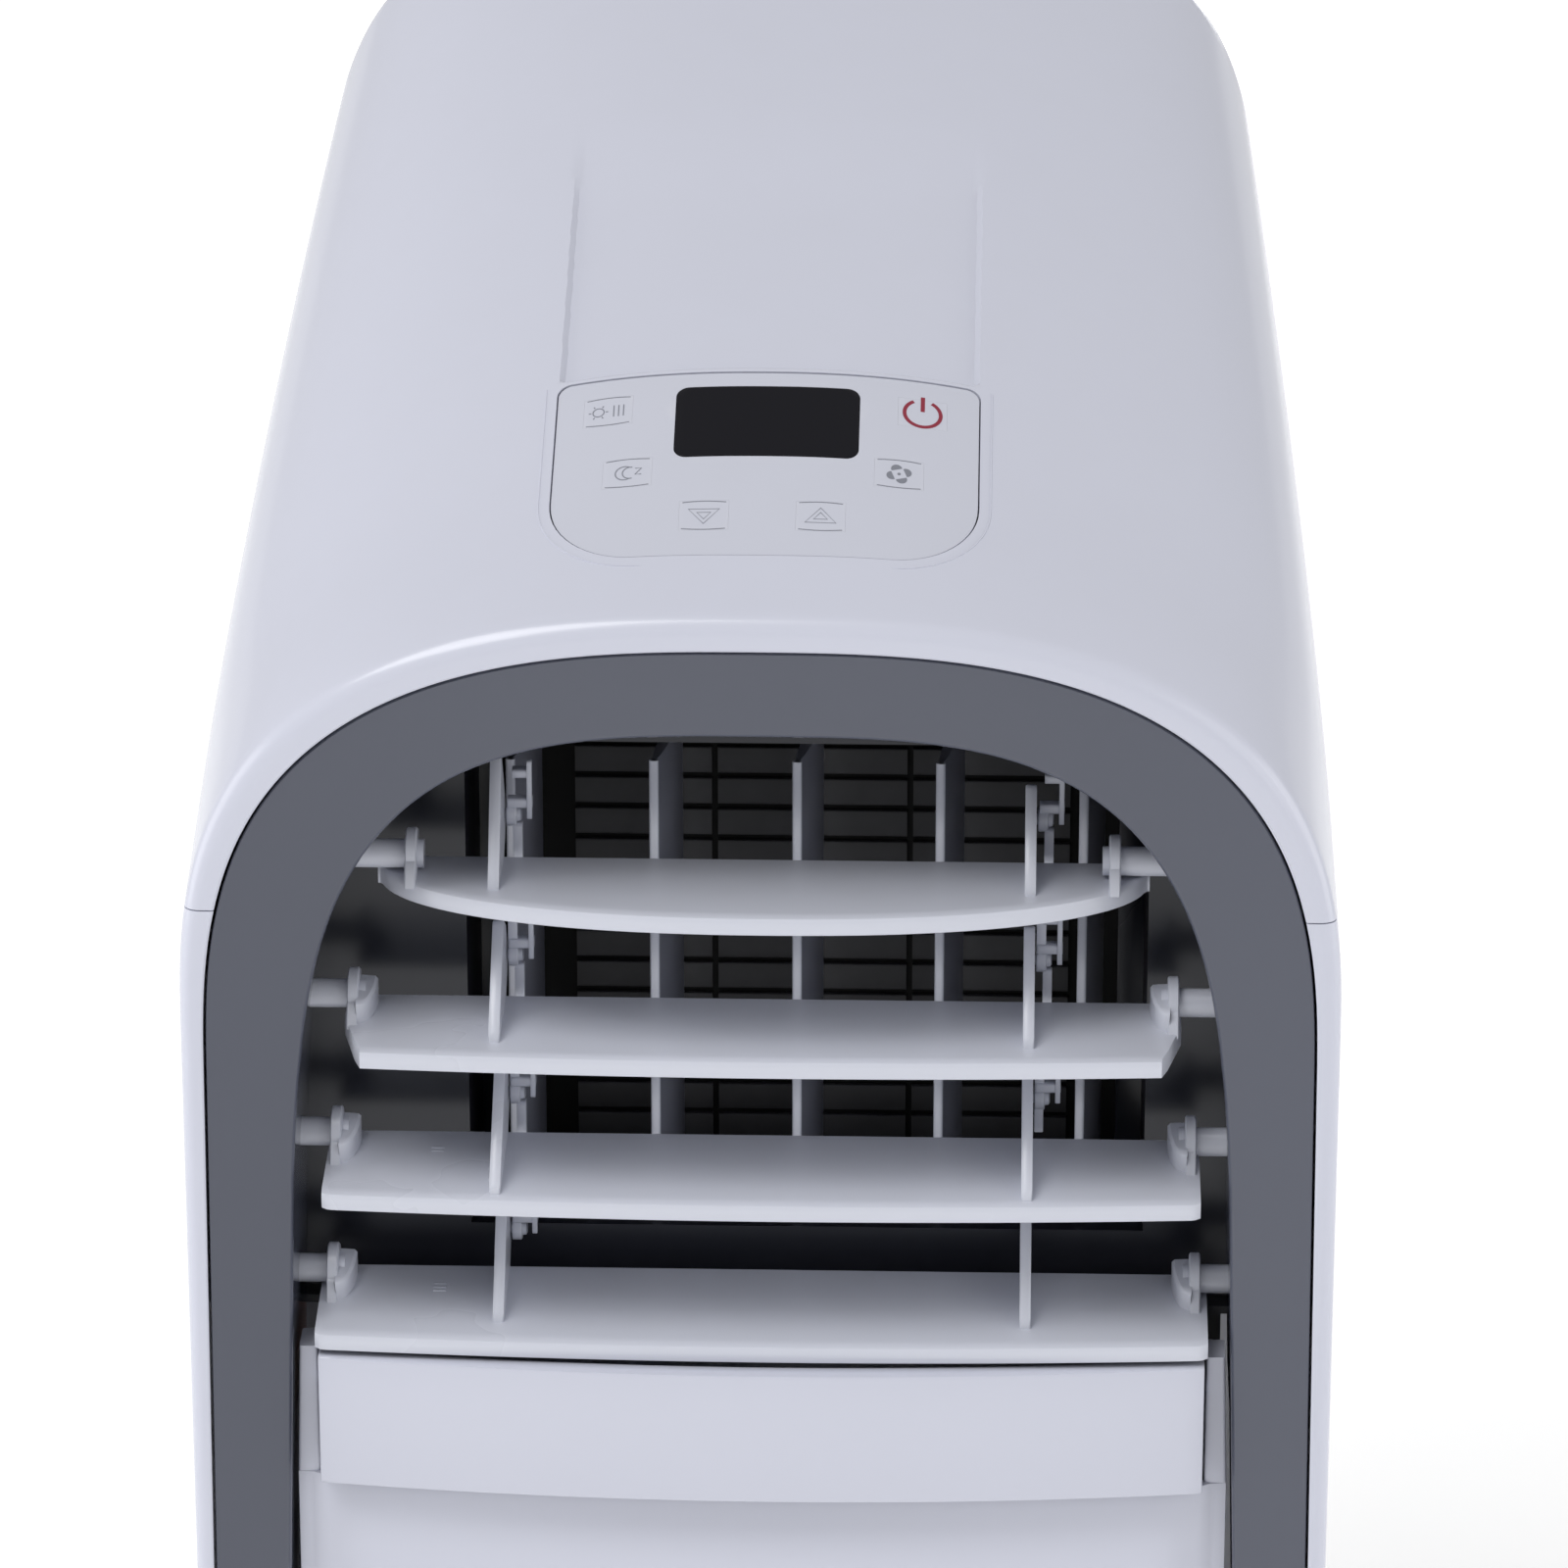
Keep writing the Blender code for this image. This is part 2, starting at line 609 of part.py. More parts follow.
def louvre(index):
    """One horizontal louvre: bowed plate, front lip, two ears with pins, two fins with link pins."""
    name = f"louvre_{index + 1}"
    pivot = louvre_pivot(index)
    tilt = math.radians(LOUVRE_TILTS[index])
    half = louvre_half(index)

    def place(x, ahead, up):
        """A point given ahead of and above the pivot, on the tilted plate."""
        y = -ahead * math.cos(tilt) - up * math.sin(tilt)
        z = -ahead * math.sin(tilt) + up * math.cos(tilt)
        return (x, pivot.y + y, pivot.z + z)

    top = -LOUVRE_DROP
    rings = []
    for x, ahead in louvre_front_line(index):
        narrow = min(LOUVRE_LIP_DEPTH, (ahead + LOUVRE_REAR) * 0.3)
        rings.append([place(x, -LOUVRE_REAR, top - LOUVRE_THICK), place(x, -LOUVRE_REAR, top),
                      place(x, ahead - narrow, top), place(x, ahead, top - LOUVRE_LIP_BEVEL),
                      place(x, ahead, top - LOUVRE_LIP), place(x, ahead - narrow, top - LOUVRE_THICK)])
    plate = make(name, rings_solid(rings), WHITE, at=pivot, smooth=True)

    ear_at = half - EAR_INSETS[index] - EAR_THICK / 2
    for side in (-1, 1):
        foot = top - LOUVRE_THICK / 2
        outline = [(EAR_RADIUS * math.cos(a), EAR_RADIUS * math.sin(a))
                   for a in (math.radians(d) for d in range(-10, 191, 20))]
        outline += [(end, foot) for end in EAR_FOOT]
        ear_x = (side * (ear_at - EAR_THICK / 2), side * (ear_at + EAR_THICK / 2))
        ear = rings_solid([[place(x, a, u) for a, u in outline] for x in ear_x])
        joined(plate, ear)
        wall = tunnel_half(pivot.z)
        pin_x = (side * ear_at, side * (wall + PIN_IN_WALL))
        pin = rings_solid([[(x, y, z) for y, z in circle(pivot.y, pivot.z, PIN_RADIUS, 12)] for x in pin_x])
        joined(plate, pin)
        fin_x = (side * FIN_X - FIN_THICK / 2, side * FIN_X + FIN_THICK / 2)
        link_ahead = -(LINK_PIN_BACK * math.cos(tilt) + LINK_PIN_UP * math.sin(tilt))
        link_up = LINK_PIN_UP * math.cos(tilt) - LINK_PIN_BACK * math.sin(tilt)
        fin_line = [(FIN_FRONTS[index], foot), (FIN_FRONTS[index], top + 0.0015), FIN_TOP,
                    (link_ahead + 0.002, link_up + 0.010), (link_ahead - FIN_HEEL, link_up + 0.002),
                    (link_ahead - FIN_HEEL, link_up - 0.003), (-LOUVRE_REAR * 0.9, foot)]
        fin = rings_solid([[place(x, a, u) for a, u in fin_line] for x in fin_x])
        joined(plate, fin)
        if side < 0 or index < 3:
            lx = (side * FIN_X, side * FIN_X + FIN_THICK / 2 + LINK_THICK + 0.002)
            link_y, link_z = pivot.y + LINK_PIN_BACK, pivot.z + LINK_PIN_UP
            pin = rings_solid([[(x, y, z) for y, z in circle(link_y, link_z, LINK_PIN_RADIUS, 8)] for x in lx])
            joined(plate, pin)


def louvre_link(name, side, count):
    """The upright bar beside one row of fins, with an eye round each link pin."""
    first, last = louvre_pivot(0), louvre_pivot(count - 1)
    y = first.y + LINK_PIN_BACK
    top, bottom = first.z + LINK_PIN_UP, last.z + LINK_PIN_UP
    tail = LINK_TAIL if side > 0 else LINK_WIDTH / 2
    outline = rounded(y - LINK_WIDTH / 2, bottom - tail, y + LINK_WIDTH / 2, top + LINK_WIDTH / 2,
                      LINK_WIDTH / 2 * 0.98, 2)
    x0 = side * FIN_X + FIN_THICK / 2 + GAP
    link = make(name, prism(outline, "x", x0, x0 + LINK_THICK), WHITE, at=(x0, y, top))
    eyes = bmesh.new()
    for index in range(count):
        z = louvre_pivot(index).z + LINK_PIN_UP
        eye = circle(y, z, LINK_PIN_RADIUS + GAP * 1.5, 10)
        add_rings(eyes, [[(x, a, b) for a, b in eye] for x in (x0 - 0.002, x0 + LINK_THICK + 0.002)])
    cutter(link, eyes)


# --- Vanes, duct and guard -------------------------------------------------------------------------
def vane_axis(index):
    x = VANE_OFFSET + (index - (VANE_COUNT - 1) / 2) * VANE_PITCH
    return Vector((x, FRONT + VANE_AXIS_DEPTH, DUCT_BOTTOM))


def duct_sides():
    return (vane_axis(0).x - DUCT_SIDE_ROOM, vane_axis(VANE_COUNT - 1).x + DUCT_SIDE_ROOM)


def vane(index):
    """One upright vane with a pivot pin at each end and a link pin on its upper edge."""
    axis = vane_axis(index)
    turn = math.radians(VANE_ANGLE)

    def place(across, back, z):
        x = across * math.cos(turn) + back * math.sin(turn)
        y = -across * math.sin(turn) + back * math.cos(turn)
        return (axis.x + x, axis.y + y, z)

    low, high = DUCT_BOTTOM + VANE_FOOT_GAP, DUCT_BOTTOM + DUCT_HEIGHT - VANE_HEAD_ROOM
    front, rear = -VANE_CHORD / 2, VANE_CHORD / 2
    outline = [(-VANE_THICK / 2, front), (VANE_THICK / 2, front), (VANE_THICK * 0.9, 0.0),
               (VANE_THICK * 0.3, rear), (-VANE_THICK * 0.3, rear), (-VANE_THICK * 0.9, 0.0)]
    plate = rings_solid([[place(a, b, z) for a, b in outline] for z in (low, high)])
    blade = make(f"vane_{index + 1}", plate, WHITE, at=axis)
    pins = ((high - VANE_FOOT_GAP, DUCT_BOTTOM + DUCT_HEIGHT + DUCT_WALL),
            (DUCT_BOTTOM - DUCT_WALL, low + VANE_FOOT_GAP))
    for start, end in pins:
        joined(blade, rings_solid([[(*p, z) for p in circle(axis.x, axis.y, VANE_PIN_RADIUS, 8)]
                                   for z in (start, end)]))
    centre = place(0.0, VANE_LINK_BACK, 0.0)
    joined(blade, rings_solid([[(*p, z) for p in circle(centre[0], centre[1], VANE_LINK_PIN, 8)]
                               for z in (high - VANE_FOOT_GAP, high + VANE_HEAD_ROOM - VANE_FOOT_GAP)]))


def vane_link():
    """The flat bar over the vanes that turns them together."""
    turn = math.radians(VANE_ANGLE)
    shift = Vector((VANE_LINK_BACK * math.sin(turn), VANE_LINK_BACK * math.cos(turn), 0))
    first, last = vane_axis(0) + shift, vane_axis(VANE_COUNT - 1) + shift
    low = DUCT_BOTTOM + DUCT_HEIGHT - VANE_HEAD_ROOM + 0.0015
    half = VANE_LINK_WIDTH / 2
    outline = rounded(first.x - half, first.y - half, last.x + half, first.y + half, half * 0.93, 3)
    middle = vane_axis(VANE_COUNT // 2) + shift
    flat = prism(outline, "z", low, low + VANE_LINK_THICK)
    link = make("vane_link", flat, WHITE, at=(middle.x, middle.y, low))
    holes = bmesh.new()
    for index in range(VANE_COUNT):
        at = vane_axis(index) + shift
        add_rings(holes, [[(*p, z) for p in circle(at.x, at.y, VANE_LINK_PIN + GAP, 8)]
                          for z in (low - PAST, low + PAST)])
    cutter(link, holes)


def outlet_duct():
    """Arched flange behind the tunnel with a straight rectangular duct for the vanes."""
    start = FRONT + TUNNEL_DEPTH + GAP
    left, right = duct_sides()
    low, high = DUCT_BOTTOM, DUCT_BOTTOM + DUCT_HEIGHT
    line = arch_line(mouth_arch(SURROUND_THICK + DUCT_FLANGE), DECK_Z + DECK_THICK + 0.0025, 31)
    duct = make("outlet_duct", prism(line, "y", start, start + DUCT_WALL), DARK)
    joined(duct, box((left - DUCT_WALL, start + 0.0005, low - DUCT_WALL),
                     (right + DUCT_WALL, start + DUCT_DEPTH, high + DUCT_WALL)))
    cutter(duct, box((left, start - PAST, low), (right, start + DUCT_DEPTH + PAST, high)))
    holes = bmesh.new()
    for index in range(VANE_COUNT):
        at = vane_axis(index)
        add_rings(holes, [[(*p, z) for p in circle(at.x, at.y, VANE_PIN_RADIUS + GAP, 8)]
                          for z in (low - PAST, high + PAST)])
    cutter(duct, holes)


def outlet_guard():
    """Slotted finger guard at the rear end of the duct."""
    left, right = duct_sides()
    low, high = DUCT_BOTTOM, DUCT_BOTTOM + DUCT_HEIGHT
    start = FRONT + TUNNEL_DEPTH + DUCT_DEPTH + 2 * GAP
    guard = make("outlet_guard", box((left - DUCT_WALL, start, low - DUCT_WALL),
                                     (right + DUCT_WALL, start + GUARD_THICK, high + DUCT_WALL)), BLACK)
    slots = bmesh.new()
    columns = GUARD_BARS + 1
    step_x = (right - left - 2 * GUARD_FRAME + GUARD_FRAME / 2) / columns
    step_z = (high - low - 2 * GUARD_FRAME) / GUARD_ROWS
    for column in range(columns):
        x0 = left + GUARD_FRAME + step_x * column
        for row in range(GUARD_ROWS):
            z0 = low + GUARD_FRAME + step_z * (row + 0.5)
            add_box(slots, (x0, start - PAST, z0 - GUARD_SLOT / 2),
                    (x0 + step_x - GUARD_FRAME / 2, start + PAST, z0 + GUARD_SLOT / 2))
    cutter(guard, slots)


# --- Control panel ---------------------------------------------------------------------------------
def skin_point(x, y, lift=0.0):
    """A point of the cabinet's skin, lifted along its normal."""
    def height(px, py):
        half, top, drop, power, _ = skin_arch(py)
        return top - drop + drop * (1 - min(abs(px / half), 1.0) ** power) ** (1 / power)
    step = 1e-4
    slope_x = (height(x + step, y) - height(x - step, y)) / (2 * step)
    slope_y = (height(x, y + step) - height(x, y - step)) / (2 * step)
    normal = Vector((-slope_x, -slope_y, 1)).normalized()
    return Vector((x, y, height(x, y))) + normal * lift


def patch(rows, lift_low, lift_high, columns=4):
    """A solid that follows the skin. Each row is (y, left x, right x)."""
    bm = bmesh.new()
    grids = []
    for lift in (lift_low, lift_high):
        grid = []
        for y, left, right in rows:
            grid.append([bm.verts.new(skin_point(left + (right - left) * i / columns, y, lift))
                         for i in range(columns + 1)])
        grids.append(grid)
    for grid in grids:
        for a, b in zip(grid, grid[1:]):
            for i in range(columns):
                bm.faces.new((a[i], a[i + 1], b[i + 1], b[i]))
    edge = []
    for grid in grids:
        loop = grid[0][:]
        loop += [row[-1] for row in grid[1:]]
        loop += grid[-1][-2::-1]
        loop += [row[0] for row in grid[-2:0:-1]]
        edge.append(loop)
    count = len(edge[0])
    for i in range(count):
        j = (i + 1) % count
        bm.faces.new((edge[0][i], edge[0][j], edge[1][j], edge[1][i]))
    return bm


def rounded_rows(x, half, front, length, radius, rear_radius, steps=5):
    """Rows of a patch with rounded corners, front to rear."""
    rows = []
    for i in range(steps + 1):
        angle = math.pi / 2 * i / steps
        rows.append((front + radius * (1 - math.cos(angle)), half - radius + radius * math.sin(angle)))
    for i in range(1, 3):
        rows.append((front + radius + (length - radius - rear_radius) * i / 3, half))
    for i in range(steps + 1):
        angle = math.pi / 2 * i / steps
        rows.append((front + length - rear_radius + rear_radius * math.sin(angle),
                     half - rear_radius + rear_radius * math.cos(angle)))
    return [(y, x - w, x + w) for y, w in rows]


def control_patch(half, grow, low, high):
    rows = rounded_rows(0.0, half, FRONT + CONTROL_FRONT - grow, CONTROL_LENGTH + 2 * grow,
                        CONTROL_ROUND, CONTROL_REAR_ROUND, 3)
    return patch(rows, low, high, 6)


def display_rows(grow):
    rear = FRONT + CONTROL_FRONT + CONTROL_LENGTH - DISPLAY_BACK
    return rounded_rows(0.0, DISPLAY_HALF + grow, rear - DISPLAY_LENGTH - grow, DISPLAY_LENGTH + 2 * grow,
                        DISPLAY_ROUND, DISPLAY_ROUND, 2)


def key_rows(x, back, grow):
    half, length = KEY_SIZE[0] / 2 + grow, KEY_SIZE[1] + 2 * grow
    return [(FRONT + back - length / 2 + length * i / 3, x - half, x + half) for i in range(4)]


def control_panel():
    face = control_patch(CONTROL_HALF, 0.0, -CONTROL_THICK, -CONTROL_SINK)
    panel = make("control_panel", face, PALE, smooth=True)
    cutter(panel, patch(display_rows(KEY_GAP), -CONTROL_THICK * 2, CONTROL_THICK))
    for _, x, back in KEYS:
        cutter(panel, patch(key_rows(x, back, KEY_GAP), -CONTROL_THICK * 2, CONTROL_THICK, 3))
    make("display_window", patch(display_rows(0.0), -CONTROL_THICK, -CONTROL_SINK), GLASS, smooth=True)
    for name, x, back in KEYS:
        centre = skin_point(x, FRONT + back, -CONTROL_SINK)
        key = patch(key_rows(x, back, 0.0), -CONTROL_THICK - KEY_STEM, -CONTROL_SINK + 0.0001, 3)
        make(name, key, PALE, at=centre)
    rows = rounded_rows(0.0, CONTROL_HALF - BOARD_INSET, FRONT + CONTROL_FRONT + BOARD_INSET,
                        CONTROL_LENGTH - 2 * BOARD_INSET, CONTROL_ROUND - BOARD_INSET, CONTROL_REAR_ROUND, 2)
    make("control_board", patch(rows, -BOARD_DROP - BOARD_THICK, -BOARD_DROP), GREEN)


# --- Base and casters ------------------------------------------------------------------------------
def plan_line(inset, front_inset):
    """Outline of the cabinet in plan, as (x, y)."""
    start = FRONT + front_inset
    stations = [start] + [y for y in skin_stations() if start + 0.004 < y < REAR - 0.001]
    right = [(half_width(y) - roll_inset(y) - inset, y) for y in stations]
    return right + [(-x, y) for x, y in reversed(right)]


def caster_places():
    front_half = half_width(FRONT + CASTER_INSET) - CASTER_INSET
    rear_half = half_width(REAR - CASTER_INSET) - CASTER_INSET
    front, rear = FRONT + CASTER_INSET, REAR - CASTER_INSET
    return (("front_left", -front_half, front), ("front_right", front_half, front),
            ("rear_left", -rear_half, rear), ("rear_right", rear_half, rear))


def base_pan():
    floor = CASTER_HEIGHT + GAP
    pan = make("base_pan", prism(plan_line(0.001, 0.001), "z", floor, PANEL_FOOT - GAP), DARK)
    inner = plan_line(WALL + 0.001, LEG_DEPTH + 0.002)
    joined(pan, prism(inner, "z", floor + 0.001, PANEL_FOOT + PAN_WALL_HEIGHT))
    hollow = plan_line(WALL + 0.004, LEG_DEPTH + 0.005)
    cutter(pan, prism(hollow, "z", floor + PAN_FLOOR, floor + DEPTH / 2))
    holes = bmesh.new()
    for _, x, y in caster_places():
        add_rings(holes, [[(*p, z) for p in circle(x, y, STEM_RADIUS + GAP, 12)]
                          for z in (floor - PAST, floor + STEM_LENGTH + GAP)])
    cutter(pan, holes)
    reach = 5 * PAST
    cutter(pan, bar((PLUG_X, REAR - REAR_ROLL, LOWER_PLUG_Z), "y", PLUG_STEM + GAP, -reach, reach, 16))


def caster(place, x, y):
    axle = Vector((x, y + CASTER_TRAIL, WHEEL_RADIUS))
    inner = WHEEL_WIDTH / 2 + FORK_SIDE_GAP
    outer = inner + FORK_CHEEK
    top = CASTER_HEIGHT
    disc = bar((x, y, 0), "z", FORK_RADIUS, top - FORK_PLATE, top, 16)
    fork = make(f"caster_fork_{place}", disc, DARK, at=(x, y, top), smooth=True)
    for side in (-1, 1):
        outline = [(y - 0.012, top - FORK_PLATE / 2), (y - 0.010, top - 0.012),
                   (axle.y - 0.0065, axle.z - 0.004), (axle.y, axle.z - 0.0065),
                   (axle.y + 0.0065, axle.z - 0.002), (y + 0.0125, top - 0.010),
                   (y + 0.0125, top - FORK_PLATE / 2)]
        ends = sorted((x + side * inner, x + side * outer))
        joined(fork, prism(outline, "x", *ends))
    joined(fork, bar(axle, "x", AXLE_RADIUS, GAP - outer, outer - GAP, 10))
    joined(fork, bar((x, y, top), "z", STEM_RADIUS, -0.001, STEM_LENGTH, 12))
    w, r = WHEEL_WIDTH / 2, WHEEL_RADIUS
    profile = [(WHEEL_BORE, -w + 0.001), (r - WHEEL_EDGE, -w), (r, -w + WHEEL_EDGE),
               (r, w - WHEEL_EDGE), (r - WHEEL_EDGE, w), (WHEEL_BORE, w - 0.001)]
    rings = []
    for radius, along in profile:
        rings.append([(axle.x + along, p, q) for p, q in circle(axle.y, axle.z, radius, 20)])
    make(f"caster_wheel_{place}", add_rings(bmesh.new(), rings, close=True), RUBBER, at=axle, smooth=True)


# --- Rear ------------------------------------------------------------------------------------------
def window_rect(window, grow=0.0):
    width, low, high = window
    return (-width / 2 - grow, low - grow, width / 2 + grow, high + grow)


def rear_cover():
    y1 = REAR - REAR_RECESS
    y0 = y1 - REAR_PLATE
    line = arch_line(skin_arch(REAR, WALL + GAP), PANEL_FOOT, 33)
    cover = make("rear_cover", prism(line, "y", y0, y1), WHITE)
    for window in (UPPER_WINDOW, LOWER_WINDOW):
        u0, v0, u1, v1 = window_rect(window)
        hole = rounded(u0, v0, u1, v1, 0.006, 3)
        cutter(cover, prism(hole, "y", y0 - PAST, y1 + PAST))
    holes = bmesh.new()
    for x, z, radius, count in ((EXHAUST_X, EXHAUST_Z, EXHAUST_RADIUS + EXHAUST_COLLAR_WALL + GAP, 28),
                                (PLUG_X, UPPER_PLUG_Z, PLUG_STEM + GAP, 16),
                                (PLUG_X, LOWER_PLUG_Z, PLUG_STEM + GAP, 16),
                                (INLET_X, INLET_Z, INLET_RADIUS + GAP, 16)):
        add_rings(holes, [[(p, y, q) for p, q in circle(x, z, radius, count)] for y in (y0 - PAST, y1 + PAST)])
    cutter(cover, holes)


def cassette(name, window):
    """A filter in a slatted frame, which pulls straight out of the rear cover."""
    u0, v0, u1, v1 = window_rect(window, -CASSETTE_GAP)
    y1 = REAR - REAR_RECESS + 0.001
    y0 = y1 - CASSETTE_THICK
    frame = make(name, prism(rounded(u0, v0, u1, v1, 0.0055, 3), "y", y0, y1), PALE,
                 at=((u0 + u1) / 2, y1, (v0 + v1) / 2))
    slots = bmesh.new()
    pitch = CASSETTE_SLAT + CASSETTE_OPEN
    low, high = v0 + CASSETTE_FRAME, v1 - CASSETTE_FRAME
    rows = int((high - low + CASSETTE_SLAT) / pitch)
    start = low + ((high - low) - rows * pitch + CASSETTE_SLAT) / 2
    middle = (u0 + u1) / 2
    for x0, x1 in ((u0 + CASSETTE_FRAME, middle - 0.003), (middle + 0.003, u1 - CASSETTE_FRAME)):
        for row in range(rows):
            z0 = start + row * pitch
            add_box(slots, (x0, y0 - PAST, z0), (x1, y1 + PAST, z0 + CASSETTE_OPEN))
    cutter(frame, slots)


def exhaust_collar():
    inner, outer = EXHAUST_RADIUS, EXHAUST_RADIUS + EXHAUST_COLLAR_WALL
    y1 = REAR
    y0 = y1 - EXHAUST_COLLAR_LENGTH
    seat, lip = REAR - REAR_RECESS + GAP, outer + EXHAUST_COLLAR_LIP
    profile = [(inner, y0), (outer, y0), (outer, seat), (lip, seat), (lip, y1 - 0.002), (outer, y1),
               (inner, y1)]
    rings = [[(p, y, q) for p, q in circle(EXHAUST_X, EXHAUST_Z, radius, 24)] for radius, y in profile]
    make("exhaust_collar", add_rings(bmesh.new(), rings, close=True), PALE, smooth=True)


def drain_plug(name, z):
    face = REAR - REAR_RECESS
    at = (PLUG_X, face, z)
    profile = [(PLUG_STEM, -PLUG_STEM_LENGTH), (PLUG_STEM, GAP), (PLUG_RADIUS, GAP), (PLUG_RADIUS, 0.003),
               (PLUG_RADIUS * 0.4, 0.0045)]
    make(name, turned(profile, at, "y", 14), RUBBER, at=at, smooth=True)


def cord_inlet():
    face = REAR - REAR_RECESS
    stem, flange = INLET_RADIUS, INLET_RADIUS * 1.5
    profile = [(stem, -0.006), (stem, GAP), (flange, GAP), (flange, 0.003), (stem + 0.0005, 0.0055),
               (INLET_BORE, 0.0055), (INLET_BORE, -0.006)]
    rings = [[(p, face + along, q) for p, q in circle(INLET_X, INLET_Z, radius, 14)]
             for radius, along in profile]
    make("cord_inlet", add_rings(bmesh.new(), rings, close=True), DARK, smooth=True)


# --- Inside the cabinet ----------------------------------------------------------------------------
def coil_rear():
    """The rear face of both heat exchangers, in front of the filters."""
    return REAR - REAR_RECESS - CASSETTE_THICK - 0.006


def deck():
    """The drip tray that parts the cold half from the hot half."""
    start, end = FRONT + TUNNEL_DEPTH + 0.001, REAR - REAR_RECESS - REAR_PLATE - 0.002
    inset = WALL + 0.002

    def outline(more):
        first, last = start + more, end - more
        stations = [first] + [y for y in skin_stations() if first + 0.002 < y < last - 0.002] + [last]
        right = [(half_width(y) - roll_inset(y) - inset - more, y) for y in stations]
        return right + [(-x, y) for x, y in reversed(right)]

    tray = make("drip_tray", prism(outline(0.0), "z", DECK_Z, DECK_Z + DECK_RIM), DARK)
    duct_start = FRONT + TUNNEL_DEPTH + DUCT_DEPTH + 0.006
    hollow = [point for point in outline(0.003) if point[1] > duct_start]
    cutter(tray, prism(hollow, "z", DECK_Z + DECK_THICK, DECK_Z + DEPTH / 3))
    cutter(tray, box((-WIDTH, start - PAST, DECK_Z + DECK_THICK - 0.0015),
                     (WIDTH, duct_start - 0.003, DECK_Z + DEPTH / 3)))


def coil(name, half, low, high):
    """A finned heat exchanger: block with return bends on its left end."""
    rear = coil_rear()
    block = make(name, box((-half, rear - COIL_THICK, low), (half, rear, high)), ALLOY)
    rows = int((high - low) / COIL_BEND_PITCH)
    for row in range(rows):
        middle = Vector((-half, rear - COIL_THICK / 2, low + (high - low) * (row + 0.5) / rows))
        rings = []
        for i in range(6):
            angle = math.pi * i / 5
            out = Vector((-math.sin(angle), 0, math.cos(angle)))
            centre = middle + Vector((out.x * COIL_LOOP[0], 0, out.z * COIL_LOOP[1]))
            rings.append([centre + COIL_TUBE * (Vector((0, u, 0)) + out * v) for u, v in circle(0, 0, 1, 6)])
        into_block = Vector((0.004, 0, 0))
        rings.insert(0, [p + into_block for p in rings[0]])
        rings.append([p + into_block for p in rings[-1]])
        joined(block, rings_solid(rings))


def blower_place():
    guard_rear = FRONT + TUNNEL_DEPTH + DUCT_DEPTH + 2 * GAP + GUARD_THICK
    coil_front = coil_rear() - COIL_THICK
    radius = (coil_front - guard_rear) / 2 - BLOWER_CLEARANCE
    height = DECK_Z + DECK_RIM + radius + BLOWER_CLEARANCE
    return Vector((VANE_OFFSET, (coil_front + guard_rear) / 2, height)), radius


def blower_wheel():
    """A cross-flow drum: two discs, slanted blades and a shaft."""
    centre, radius = blower_place()
    left, right = duct_sides()
    half = (right - left) / 2 - 0.012
    disc = bar(centre, "x", radius, -half, -half + BLOWER_DISC, 20)
    wheel = make("blower_wheel", disc, DARK, at=centre, smooth=True)
    joined(wheel, bar(centre, "x", radius, half - BLOWER_DISC, half, 20))
    blades = bmesh.new()
    for i in range(BLOWER_BLADES):
        angle = math.tau * i / BLOWER_BLADES
        out, side = (math.cos(angle), math.sin(angle)), (-math.sin(angle), math.cos(angle))
        section = []
        for share_of_radius, s in ((0.97, 0.0), (0.97, 0.002), (0.80, 0.011), (0.80, 0.009)):
            r = radius * share_of_radius
            section.append((centre.y + out[0] * r + side[0] * s, centre.z + out[1] * r + side[1] * s))
        add_rings(blades, [[(centre.x + x, y, z) for y, z in section]
                           for x in (-half + BLOWER_DISC / 2, half - BLOWER_DISC / 2)])
    joined(wheel, blades)
    joined(wheel, bar(centre, "x", BLOWER_SHAFT, -half - 0.006, half + 0.006, 8))
    motor_left = centre.x - half - 0.0095
    profile = [(0.012, 0.0), (0.030, 0.004), (0.030, 0.026), (0.012, 0.030)]
    rings = [[(motor_left - along, y, z) for y, z in circle(centre.y, centre.z, r, 24)] for r, along in profile]
    motor = make("blower_motor", rings_solid(rings), STEEL, smooth=True)
    joined(motor, box((motor_left - 0.024, centre.y - 0.010, DECK_Z + DECK_THICK + GAP),
                      (motor_left - 0.008, centre.y + 0.010, centre.z - 0.020)))


def fan_centre():
    return Vector((FAN_X, coil_rear() - COIL_THICK - SCROLL_WALL - FAN_WIDTH / 2 - 0.010, FAN_Z))


def scroll_line(grow):
    """A spiral housing that opens upwards into the exhaust duct."""
    centre = fan_centre()
    base = FAN_RADIUS + SCROLL_CLEARANCE + grow
    rear_wall = centre.y + FAN_WIDTH / 2 + 0.012
    neck_right = min(centre.x + base + 0.014, half_width(rear_wall) - WALL - 0.004 - SCROLL_WALL + grow)
    top = EXHAUST_Z + SCROLL_NECK_ABOVE + grow
    points = [(neck_right, top)]
    for i in range(19):
        angle = math.radians(5 - 15 * i)
        r = base + 0.012 * (1 - i / 18)
        points.append((min(centre.x + r * math.cos(angle), neck_right), centre.z + r * math.sin(angle)))
    points.append((centre.x - base * 0.28, centre.z + base * 1.02))
    points.append((centre.x - base * 0.28, top))
    return points


